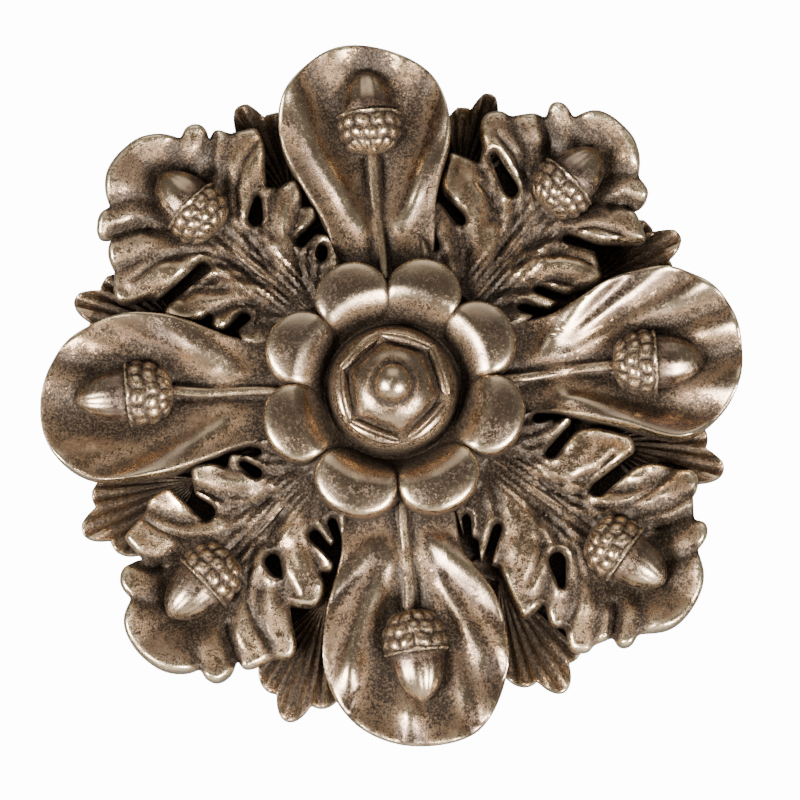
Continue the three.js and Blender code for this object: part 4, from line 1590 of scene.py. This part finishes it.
# Eyes run from their wide inner end to their mouth, each as across, out and radius. Veins are
# the side of the leaf and how far out the tip of their lobe lies.
OAK_LEAVES = (
    OakDrawing(
        degrees=48.5,
        outline=(
            (-8, 30), (-18, 32), (-23, 37, 1.5), (-22, 39.5), (-26.5, 44.5, 2), (-24.5, 48.5),
            (-29, 52.5, 2), (-32.5, 60, 2), (-24, 62.6), (-26, 66.5, 1.5), (-30.5, 70, 2),
            (-32, 74.5, 2), (-29, 77.8, 1.5), (-26, 78.2), (-23, 81.5, 1.5), (-20.5, 83.8, 1.5),
            (-18.3, 84.3), (-20.3, 88, 2.2), (-17, 90.5, 2), (-12.5, 89), (-10, 94, 4),
            (-5, 96.3, 5), (3, 96.3, 6), (9, 92.5, 4), (11.7, 88.4), (17.5, 87.5, 3),
            (17.5, 81.5, 2), (14.5, 80.3), (17, 81, 1.5), (25.5, 77, 1.8), (22, 73.5, 1.5),
            (15, 67), (17, 64.8, 2), (23.5, 61, 2), (20.5, 55.5, 2), (18, 50.5), (18.5, 45, 2),
            (15.5, 42.5), (16, 38.5, 2), (13, 32), (8, 30),
        ),
        eyes=(
            ((-12.5, 63, 2.2), (-22.5, 67, 1)), ((-17, 47.3, 1.5), (-26, 48.5, 1.1)),
            ((-17.5, 36.8, 1.4), (-23, 38.5, 0.9)), ((8, 63.2, 1.5), (18, 67.5, 1)),
            ((11.5, 47, 1.2), (19, 49.5, 1.1)), ((11.5, 40.3, 1.3), (17, 42.5, 0.9)),
        ),
        pits=((-13.5, 80.2), (12.5, 80)),
        veins=((-1, 69), (-1, 56), (1, 72), (1, 60)),
        acorn=Acorn(-2.4, 64.6, 0.92, 4),
    ),
    OakDrawing(
        degrees=137.5,
        outline=(
            (-8, 30), (-15, 33), (-19.5, 38.5, 2), (-17.5, 42), (-22, 47.5, 2), (-18.5, 50.5),
            (-24.5, 53, 2), (-28, 60, 2), (-24, 62.3), (-26, 66.5, 1.5), (-31.5, 69.5, 2),
            (-33.5, 73, 2), (-29.5, 77, 2), (-27.3, 78.5), (-26, 82.5, 2), (-22.8, 84.8, 1.5),
            (-21, 84.9), (-24.5, 88, 2.5), (-19, 92.3, 2.5), (-15.3, 91), (-14, 94.5, 4),
            (-8.5, 99, 5), (2, 99.5, 6), (8.5, 95, 5), (11.5, 89.6), (15, 91, 2), (18.5, 88.5, 2),
            (17.8, 85, 1.5), (16.6, 84), (20, 85, 2), (22, 80.5, 1.5), (28.5, 77, 2),
            (26, 71.5, 2), (21.5, 67.5), (17.8, 63.4), (20, 61, 1.5), (25.5, 59, 2),
            (23.5, 55.5, 1.5), (20.5, 52.5), (23, 49.5, 1.5), (17.5, 44.5), (19.5, 41, 1.5),
            (15.5, 33), (8, 30),
        ),
        eyes=(
            ((-10, 61, 2), (-26, 63, 1.2)), ((-12.5, 43, 1.5), (-20, 44, 1)),
            ((9.5, 60, 2.2), (13.8, 63.2, 1.1)), ((13, 45.8, 1.5), (21, 46, 1.2)),
            ((13.8, 38.8, 1.4), (15.8, 40, 1)),
        ),
        pits=((-13.5, 81.5), (12.5, 80)),
        veins=((-1, 70), (-1, 57), (1, 71), (1, 59)),
        acorn=Acorn(-0.7, 64.6, 0.93, 2),
    ),
    OakDrawing(
        degrees=225.5,
        outline=(
            (-8, 30), (-15, 33), (-19, 38.5, 1.5), (-17.5, 41.5), (-23.5, 46.5, 2), (-20.5, 49),
            (-25, 51, 2), (-27, 56, 2), (-23.5, 59.5, 2), (-20.5, 61), (-24.5, 64, 1.5),
            (-30, 67.5, 2), (-31.5, 71, 2), (-27.5, 74.5, 1.5), (-26, 79.5, 1.5), (-24, 82.5, 2),
            (-20.8, 81.5), (-22.8, 85.5, 1.5), (-22, 90, 2), (-18.5, 91.4, 1.5), (-15.3, 90.3),
            (-14, 94, 4), (-8.5, 98.5, 6), (1, 99.5, 7), (8.5, 96.5, 5), (11, 90), (16, 89.9, 2),
            (18.8, 86, 2), (17.5, 81.5, 1.5), (16.3, 80.3), (24.5, 80, 1.5), (25, 70.5),
            (27, 68, 1.5), (25.5, 61.5, 1.8), (17, 59.5), (20, 57, 1.5), (25, 53.5, 2),
            (22, 49, 1.5), (17.5, 46.5), (19.5, 43.5, 1.2), (16.8, 41), (17.5, 38, 1.2), (14, 32),
            (8, 30),
        ),
        eyes=(
            ((-9, 56, 2.2), (-12.5, 57.3, 1.1)), ((-12, 43, 1.6), (-21.5, 43.7, 1.1)),
            ((-13.5, 37.3, 1.4), (-18, 39.5, 1)), ((13, 59, 2.4), (24, 60.3, 1)),
            ((10.5, 42, 1.5), (15.5, 43, 1)), ((14.5, 37.8, 1.3), (18, 40.5, 1)),
        ),
        pits=((-14.5, 79), (13, 80)),
        veins=((-1, 70), (-1, 56), (1, 70), (1, 54)),
        acorn=Acorn(0, 62.4, 1, 1),
    ),
    OakDrawing(
        degrees=324.6,
        outline=(
            (-8, 30), (-16, 33), (-20.5, 38, 1.5), (-18.5, 41), (-22.5, 43.5, 2), (-19.5, 46.5),
            (-24, 51, 2), (-28, 60.5, 2), (-22, 66), (-25.5, 69.5, 2), (-27, 75, 2),
            (-30.5, 79.5, 2), (-28, 82.5, 1.5), (-24.5, 82.8), (-21, 85.5, 1.5), (-18.8, 87.2),
            (-20.3, 90.3, 2), (-17, 93, 2), (-12.5, 92.5), (-7.5, 99, 5), (1, 101, 7),
            (9.5, 99.5, 6), (15, 92.5), (19, 93, 1.5), (21.5, 90.5, 2), (19.6, 87.3),
            (22, 86, 1.5), (24.3, 84.3), (27, 84.5, 1.5), (30, 80, 2), (25, 75.3), (27.5, 72, 1.8),
            (23, 67), (30.5, 65, 2), (27, 58, 2), (22.5, 51), (24.5, 46, 1.5), (19.5, 42.5),
            (21.5, 38.5, 1.5), (17, 33), (8, 30),
        ),
        eyes=(
            ((-10.5, 61, 2), (-25, 65, 1.4)), ((-11, 45, 1.5), (-21, 46, 1.1)),
            ((-16.5, 36.5, 1.4), (-20, 39.5, 1)), ((11.5, 63, 2.4), (16.5, 68, 1)),
            ((14, 44.8, 1.3), (24, 48, 1.2)), ((17, 36.5, 1.3), (21.5, 40.5, 1)),
        ),
        pits=((-13, 82), (14, 84)),
        veins=((-1, 72), (-1, 57), (1, 73), (1, 58)),
        acorn=Acorn(0, 66, 1.02, 0),
    ),
)


def linear(colour: str) -> tuple[float, float, float, float]:
    """Turns an sRGB hex colour into the linear values that a shader takes.

    Args:
        colour: A # and six hex digits.

    Returns:
        Red, green, blue and an alpha of 1.
    """
    values = []
    for start in (1, 3, 5):
        level = int(colour[start : start + 2], 16) / 255
        values.append(level / 12.92 if level <= 0.04045 else ((level + 0.055) / 1.055) ** 2.4)
    return (*values, 1.0)


def add_node(
    tree: bpy.types.NodeTree,
    kind: str,
    settings: dict[str, object] | None = None,
    **inputs: object,
) -> bpy.types.Node:
    """Adds a node, sets its options and fills or links its inputs.

    Args:
        tree: The node tree to add to.
        kind: The node's type name.
        settings: Options of the node itself.
        **inputs: Values, or output sockets to link, by input name, with _ for a space. A name
            such as in_2 stands for an input by its number.

    Returns:
        The new node.
    """
    node = tree.nodes.new(kind)
    for name, value in (settings or {}).items():
        setattr(node, name, value)
    for name, value in inputs.items():
        key = int(name[3:]) if name.startswith("in_") else name.replace("_", " ")
        socket = node.inputs[key]
        if isinstance(value, bpy.types.NodeSocket):
            tree.links.new(value, socket)
        else:
            socket.default_value = value
    return node


@dataclass(frozen=True)
class BronzeLeafFinish:
    """Bronze leaf laid over a dark ground and rubbed back.

    The highs are burnished metal, the hollows keep a near-black patina, and between them the
    dark ground shows through the leaf as fine speckle. Places that the ambient occlusion finds
    sheltered are darkened the same way, which is painted shade.
    """

    pale: str = "#e0cba8"
    bronze: str = "#8b7157"
    warm: str = "#83603c"
    mauve: str = "#6f5e53"
    patina: str = "#231c16"
    dust: str = "#4d4135"
    burnished_roughness: float = 0.25
    patina_roughness: float = 0.5
    speckle_mm: float = 0.42
    blotch_mm: float = 5.0
    tint_mm: float = 16.0
    # Reach and weight of the ambient occlusion that paints shade into sheltered places as more dark
    # ground.
    shade_reach_mm: float = 7.0
    painted_shade_share: float = 0.68
    bend_share: float = 0.55
    blotch_share: float = 0.9
    most_ground: float = 1.15
    grain_depth_mm: float = 0.12
    grain_strength: float = 0.9

    def material(self) -> bpy.types.Material:
        """Builds the node material and returns it.

        Returns:
            The material.
        """
        made = bpy.data.materials.new("rubbed_bronze_leaf")
        made.use_nodes = True
        tree = made.node_tree
        tree.nodes.clear()
        place = add_node(tree, "ShaderNodeTexCoord").outputs["Object"]

        def noise(size_mm: float, detail: float, roughness: float) -> bpy.types.NodeSocket:
            """Adds noise whose patches are about that many millimetres across.

            Args:
                size_mm: About how wide a patch is.
                detail: How many finer layers it has.
                roughness: How strong the finer layers are.

            Returns:
                The socket of its value, 0 to 1.
            """
            node = add_node(
                tree,
                "ShaderNodeTexNoise",
                Vector=place,
                Scale=1 / (size_mm * MM),
                Detail=detail,
                Roughness=roughness,
            )
            return node.outputs["Fac"]

        def math_node(operation: str, *values: object) -> bpy.types.NodeSocket:
            """Adds a maths node on up to three values."""
            inputs = {f"in_{index}": value for index, value in enumerate(values)}
            return add_node(tree, "ShaderNodeMath", {"operation": operation}, **inputs).outputs[0]

        def ramp(value: object, low: float, high: float) -> bpy.types.NodeSocket:
            """Adds a smooth rise from 0 at low to 1 at high.

            Args:
                value: Where on the rise.
                low: Start of the rise.
                high: End of the rise.

            Returns:
                The socket of the result.
            """
            node = add_node(
                tree,
                "ShaderNodeMapRange",
                {"interpolation_type": "SMOOTHSTEP"},
                Value=value,
                in_1=low,
                in_2=high,
            )
            return node.outputs["Result"]

        def mix(share: object, first: object, second: object) -> bpy.types.NodeSocket:
            """Adds a colour mix.

            Args:
                share: Share of the second colour.
                first: The first colour.
                second: The second colour.

            Returns:
                The socket of the mixed colour.
            """
            node = add_node(
                tree,
                "ShaderNodeMix",
                {"data_type": "RGBA"},
                in_0=share,
                in_6=first,
                in_7=second,
            )
            return node.outputs[2]

        carved = add_node(tree, "ShaderNodeAttribute", {"attribute_name": "hollow"}).outputs["Fac"]
        bend = add_node(tree, "ShaderNodeAttribute", {"attribute_name": "convex"}).outputs["Fac"]
        # Painted shade: one minus the ambient occlusion darkens places by how sheltered they are, as
        # shade would fall there.
        wide = add_node(tree, "ShaderNodeAmbientOcclusion", {"samples": 4})
        wide.inputs["Distance"].default_value = self.shade_reach_mm * MM
        painted_occlusion_shade = math_node("SUBTRACT", 1.0, wide.outputs["AO"])

        # How much dark ground shows: the patina where the form is carved hollow or curved inwards,
        # and painted shade where the ambient occlusion finds it sheltered.
        ground = math_node("MULTIPLY_ADD", painted_occlusion_shade, self.painted_shade_share, carved)
        ground = math_node("MULTIPLY_ADD", bend, -self.bend_share, ground)
        blotch = noise(self.blotch_mm, 3, 0.6)
        uneven = math_node("SUBTRACT", blotch, 0.5)
        ground = math_node("MULTIPLY_ADD", uneven, self.blotch_share, ground)
        ground = math_node("MINIMUM", ground, self.most_ground)

        # Speckle: small flecks of ground that grow together as more ground shows, patina and painted
        # shade alike.
        fleck = noise(self.speckle_mm, 4, 0.7)
        fine = noise(self.speckle_mm * 2.4, 4, 0.75)
        grains = math_node("MULTIPLY_ADD", fine, 0.5, math_node("MULTIPLY", fleck, 0.5))
        level = math_node("MULTIPLY_ADD", ground, 0.3, grains)
        flecks = math_node("MULTIPLY_ADD", ramp(ground, 0.05, 0.45), 0.6, 0.4)
        dark = math_node("MULTIPLY", ramp(level, 0.52, 0.68), flecks)

        # Leaf colour: paler on the rubbed highs, orange-brown where it is thin, mauve where
        # hands reach most.
        tint = noise(self.tint_mm, 2, 0.5)
        handled = math_node("SUBTRACT", 1.0, ramp(carved, 0.08, 0.2))
        greyed = math_node("MULTIPLY", ramp(tint, 0.42, 0.7), 0.5)
        greyed = math_node("MULTIPLY_ADD", handled, 0.65, greyed)
        leaf = mix(greyed, linear(self.bronze), linear(self.mauve))
        thin = math_node("MULTIPLY", ramp(blotch, 0.5, 0.72), ramp(carved, 0.14, 0.4))
        leaf = mix(math_node("MULTIPLY", thin, 0.45), leaf, linear(self.warm))
        covered = math_node("MAXIMUM", ground, 0.0)
        high = math_node("MULTIPLY_ADD", bend, 0.9, math_node("MULTIPLY", covered, -0.4))
        leaf = mix(ramp(high, -0.1, 0.55), leaf, linear(self.pale))
        dusty = noise(self.speckle_mm * 1.4, 3, 0.7)
        # The dark colour is patina flecked with dust, and where the occlusion adds to the ground it
        # is painted shade as well.
        patina_and_painted_shade = mix(ramp(dusty, 0.48, 0.6), linear(self.patina), linear(self.dust))

        base = mix(dark, leaf, patina_and_painted_shade)
        metal = math_node("MULTIPLY_ADD", dark, -0.6, 1.0)
        wear = math_node("SUBTRACT", fine, 0.5)
        wear = math_node("MULTIPLY_ADD", wear, 0.25, self.burnished_roughness)
        duller = self.patina_roughness - self.burnished_roughness
        rough = math_node("MULTIPLY_ADD", dark, duller, wear)
        relief = math_node("MULTIPLY_ADD", dark, -0.6, math_node("MULTIPLY", fine, 0.6))
        bump = add_node(
            tree,
            "ShaderNodeBump",
            Strength=self.grain_strength,
            Distance=self.grain_depth_mm * MM,
            Height=relief,
        )
        surface = add_node(
            tree,
            "ShaderNodeBsdfPrincipled",
            Base_Color=base,
            Metallic=metal,
            Roughness=rough,
            Specular_IOR_Level=0.2,
            Normal=bump.outputs["Normal"],
        )
        add_node(tree, "ShaderNodeOutputMaterial", Surface=surface.outputs["BSDF"])
        return made


@dataclass(frozen=True)
class FloorFinish:
    """Matt pale paper, as a photographer's table top."""

    colour: str = "#f2f1ee"

    def material(self) -> bpy.types.Material:
        """Builds the plain matt material and returns it.

        Returns:
            The material.
        """
        made = bpy.data.materials.new("matt_paper")
        made.use_nodes = True
        shader = made.node_tree.nodes["Principled BSDF"]
        shader.inputs["Base Color"].default_value = linear(self.colour)
        shader.inputs["Roughness"].default_value = 0.8
        return made


def mesh_object(shell: Shell, name: str) -> bpy.types.Object:
    """Makes a Blender object of a shell, turned from the plan into the frame, in metres.

    Args:
        shell: The shell in the plan.
        name: Name of the object.

    Returns:
        The object, linked to the scene.
    """
    x, y, z = shell.points.T
    points = np.column_stack([x, -z, y]) * MM
    mesh = bpy.data.meshes.new(name)
    mesh.from_pydata(points.tolist(), [], shell.faces.tolist())
    made = bpy.data.objects.new(name, mesh)
    bpy.context.scene.collection.objects.link(made)
    return made


@dataclass
class Casting:
    """The whole ornament as one solid, with the attributes that its finish reads."""

    ovate: OvateLeaf = field(default_factory=OvateLeaf)
    oak: OakLeaf = field(default_factory=OakLeaf)
    fan: Fan = field(default_factory=Fan)
    petal: Petal = field(default_factory=Petal)
    boss: Boss = field(default_factory=Boss)
    back: Back = field(default_factory=Back)
    finish: BronzeLeafFinish = field(default_factory=BronzeLeafFinish)
    crease_degrees: float = 42.0
    rear_hollow: float = 0.1

    def shells(self) -> list[Shell]:
        """Builds every shell of the ornament but the slot.

        Returns:
            The closed shells, the back disc first.
        """
        shells = [self.back.shell()]
        shells += [self.fan.shell(degrees, reach) for degrees, reach in FANS]
        for drawing in OAK_LEAVES:
            shells += self.oak.shells(drawing)
        for drawing in OVATE_LEAVES:
            shells += self.ovate.shells(drawing)
        shells += [self.petal.shell(degrees, width) for degrees, width in PETALS]
        shells += self.boss.shells()
        return shells

    def join(self, shells: list[Shell]) -> bpy.types.Object:
        """Joins the shells into one solid and cuts the slot.

        Args:
            shells: The closed shells, the back disc first.

        Returns:
            The solid as an object.
        """
        whole = mesh_object(shells[0], "cast_rosette")
        added = bpy.data.collections.new("added")
        for index, shell in enumerate(shells[1:]):
            part = mesh_object(shell, f"form_{index}")
            added.objects.link(part)
        self.apply(whole, "UNION", added)
        cut = bpy.data.collections.new("cut")
        slots = [mesh_object(shell, f"slot_{i}") for i, shell in enumerate(self.back.slot())]
        for part in slots[1:]:
            cut.objects.link(part)
        self.apply(slots[0], "UNION", cut)
        last = bpy.data.collections.new("slot")
        last.objects.link(slots[0])
        self.apply(whole, "DIFFERENCE", last)
        return whole

    def apply(self, solid: bpy.types.Object, operation: str, others: bpy.types.Collection) -> None:
        """Joins or cuts a solid with all objects of a collection, and removes those.

        Args:
            solid: The solid, which takes the result.
            operation: UNION or DIFFERENCE.
            others: The objects to join or cut with.
        """
        modifier = solid.modifiers.new("shape", "BOOLEAN")
        modifier.operation = operation
        modifier.solver = "MANIFOLD"
        modifier.operand_type = "COLLECTION"
        modifier.collection = others
        graph = bpy.context.evaluated_depsgraph_get()
        mesh = bpy.data.meshes.new_from_object(solid.evaluated_get(graph))
        solid.modifiers.clear()
        solid.data = mesh
        for part in list(others.objects):
            bpy.data.objects.remove(part)
        bpy.data.collections.remove(others)

    def mark(self, solid: bpy.types.Object, shells: list[Shell]) -> None:
        """Writes the hollow and convex attributes that the finish reads.

        Args:
            solid: The joined solid.
            shells: The shells that it was joined from.
        """
        mesh = solid.data
        count = len(mesh.vertices)
        places = np.zeros(count * 3)
        mesh.vertices.foreach_get("co", places)
        places = places.reshape(-1, 3)
        source = np.vstack([shell.points for shell in shells])
        source = np.column_stack([source[:, 0], -source[:, 2], source[:, 1]]) * MM
        values = np.concatenate([shell.hollow for shell in shells])
        tree = KDTree(len(source))
        for index, place in enumerate(source.tolist()):
            tree.insert(place, index)
        tree.balance()
        nearest = np.array([tree.find(place)[1] for place in places.tolist()])
        normals = np.zeros(count * 3)
        mesh.vertices.foreach_get("normal", normals)
        normals = normals.reshape(-1, 3)

        # The hidden rear keeps one even patina.
        rear = np.maximum(smoothstep(normals[:, 1], 0.2, 0.5), places[:, 1] > -0.1 * MM)
        self.write(mesh, "hollow", values[nearest] * (1 - rear) + self.rear_hollow * rear)
        ends = np.zeros(len(mesh.edges) * 2, int)
        mesh.edges.foreach_get("vertices", ends)
        start, end = ends.reshape(-1, 2).T
        gap = places[end] - places[start]
        length = np.maximum(np.linalg.norm(gap, axis=1), 1e-6)
        turn = np.einsum("ij,ij->i", normals[end] - normals[start], gap) / length
        weight = np.minimum(length / MM, 1.5)
        curve = self.spread(turn * weight, start, end, count)
        total = self.spread(weight, start, end, count)
        curve = curve / np.maximum(total, 1e-6)
        for _ in range(4):
            sums = self.spread_values(curve, start, end, count)
            curve = 0.4 * curve + 0.6 * sums
        self.write(mesh, "convex", np.clip(curve * 1.6, -1, 1) * (1 - rear))

    @staticmethod
    def spread(values: np.ndarray, start: np.ndarray, end: np.ndarray, count: int) -> np.ndarray:
        """Adds each edge's value to both of its ends."""
        return np.bincount(start, values, count) + np.bincount(end, values, count)

    @staticmethod
    def spread_values(
        values: np.ndarray, start: np.ndarray, end: np.ndarray, count: int
    ) -> np.ndarray:
        """Returns the mean of each point's neighbours.

        Args:
            values: One value for each point.
            start: The first point of each edge.
            end: The second point of each edge.
            count: How many points there are.

        Returns:
            One mean for each point.
        """
        sums = np.bincount(start, values[end], count) + np.bincount(end, values[start], count)
        sides = np.bincount(start, minlength=count) + np.bincount(end, minlength=count)
        return sums / np.maximum(sides, 1)

    @staticmethod
    def write(mesh: bpy.types.Mesh, name: str, values: np.ndarray) -> None:
        """Writes one value per point to the mesh under a name."""
        attribute = mesh.attributes.new(name, "FLOAT", "POINT")
        attribute.data.foreach_set("value", values.astype(np.float32))

    def build(self) -> bpy.types.Object:
        """Builds, marks and dresses the ornament.

        Returns:
            The finished piece.
        """
        shells = self.shells()
        LOG.info("%d shells, %d triangles", len(shells), sum(len(s.faces) for s in shells))
        solid = self.join(shells)
        self.mark(solid, shells)
        solid.data.shade_smooth()
        solid.data.set_sharp_from_angle(angle=math.radians(self.crease_degrees))
        solid.data.materials.clear()
        solid.data.materials.append(self.finish.material())
        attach(solid, "root")
        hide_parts(CASTING_NODE)
        return solid


@dataclass(frozen=True)
class SoftLight:
    """A soft square light that faces the ornament: place and side in metres, power in watts."""

    name: str
    place: tuple[float, float, float]
    side: float
    power: float

    def add(self) -> None:
        """Adds the light to the scene."""
        data = bpy.data.lights.new(self.name, "AREA")
        data.shape = "SQUARE"
        data.color = (1.0, 0.97, 0.92)
        data.size = self.side
        data.energy = self.power
        made = bpy.data.objects.new(self.name, data)
        made.location = self.place
        made.rotation_euler = (-Vector(self.place)).to_track_quat("-Z", "Y").to_euler()
        bpy.context.scene.collection.objects.link(made)


@dataclass
class Studio:
    """The pale floor, two soft low lights and the camera at the photograph's angle."""

    distance_mm: float = 1400.0
    pixels_per_mm: float = 3.684
    image_pixels: float = 800.0
    sensor_mm: float = 36.0
    elevation_degrees: float = -8.0
    centre_pixel: tuple[float, float] = (393.0, 401.0)
    sight_relief: float = 18.0
    floor_height: float = -1.4
    floor_half: float = 2.0

    def floor(self) -> bpy.types.Object:
        """Lays the pale floor well below the ornament.

        Returns:
            The floor.
        """
        half = self.floor_half
        mesh = bpy.data.meshes.new("floor")
        corners = [(-half, -half, 0), (half, -half, 0), (half, half, 0), (-half, half, 0)]
        mesh.from_pydata(corners, [], [(0, 1, 2, 3)])
        made = bpy.data.objects.new("floor", mesh)
        made.location.z = self.floor_height
        made.data.materials.append(FloorFinish().material())
        bpy.context.scene.collection.objects.link(made)
        return made

    def camera(self) -> bpy.types.Object:
        """Sets the camera so that the ornament fills the image as in the photograph.

        Returns:
            The camera.
        """
        tilt = math.radians(self.elevation_degrees)
        across = (self.image_pixels / 2 - self.centre_pixel[0]) / self.pixels_per_mm
        up = (self.centre_pixel[1] - self.image_pixels / 2) / self.pixels_per_mm
        height = (up + self.sight_relief * math.sin(tilt)) / math.cos(tilt)
        target = Vector((across, -self.sight_relief, height)) * MM
        back = Vector((0, -math.cos(tilt), math.sin(tilt)))
        lens = self.distance_mm * self.pixels_per_mm * self.sensor_mm / self.image_pixels
        data = bpy.data.cameras.new("camera")
        data.lens = lens
        data.sensor_width = self.sensor_mm
        data.clip_end = 20
        made = bpy.data.objects.new("camera", data)
        made.location = target + back * self.distance_mm * MM
        made.rotation_euler = (-back).to_track_quat("-Z", "Y").to_euler()
        bpy.context.scene.collection.objects.link(made)
        bpy.context.scene.camera = made
        return made

    def lights(self) -> None:
        """Sets two soft lights low in front and a weak one above."""
        SoftLight("light_left", (-0.95, -0.75, -0.5), 0.58, 67).add()
        SoftLight("light_right", (0.75, -0.73, -0.82), 0.58, 65).add()
        SoftLight("light_top", (0.0, -0.7, 1.2), 1.2, 6).add()

    def world(self) -> None:
        """Makes a white background with a softer grey surround for reflections."""
        made = bpy.data.worlds.new("studio")
        made.use_nodes = True
        tree = made.node_tree
        tree.nodes.clear()
        seen = add_node(tree, "ShaderNodeBackground", Color=(1, 1, 1, 1), Strength=14.0)
        dim = add_node(tree, "ShaderNodeBackground", Color=(1, 0.97, 0.93, 1), Strength=0.26)
        path = add_node(tree, "ShaderNodeLightPath")
        both = add_node(
            tree,
            "ShaderNodeMixShader",
            in_0=path.outputs["Is Camera Ray"],
            in_1=dim.outputs[0],
            in_2=seen.outputs[0],
        )
        add_node(tree, "ShaderNodeOutputWorld", Surface=both.outputs[0])
        bpy.context.scene.world = made


def main() -> None:
    """Builds the ornament and the studio and reports each piece."""
    logging.basicConfig(level=logging.INFO, format="%(name)s: %(message)s")
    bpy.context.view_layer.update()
    piece = Casting().build()
    LOG.info("%s: %d faces", piece.name, len(piece.data.polygons))
    studio = Studio()
    LOG.info("%s laid", studio.floor().name)
    studio.camera()
    studio.lights()
    studio.world()


if __name__ == "__main__":
    main()
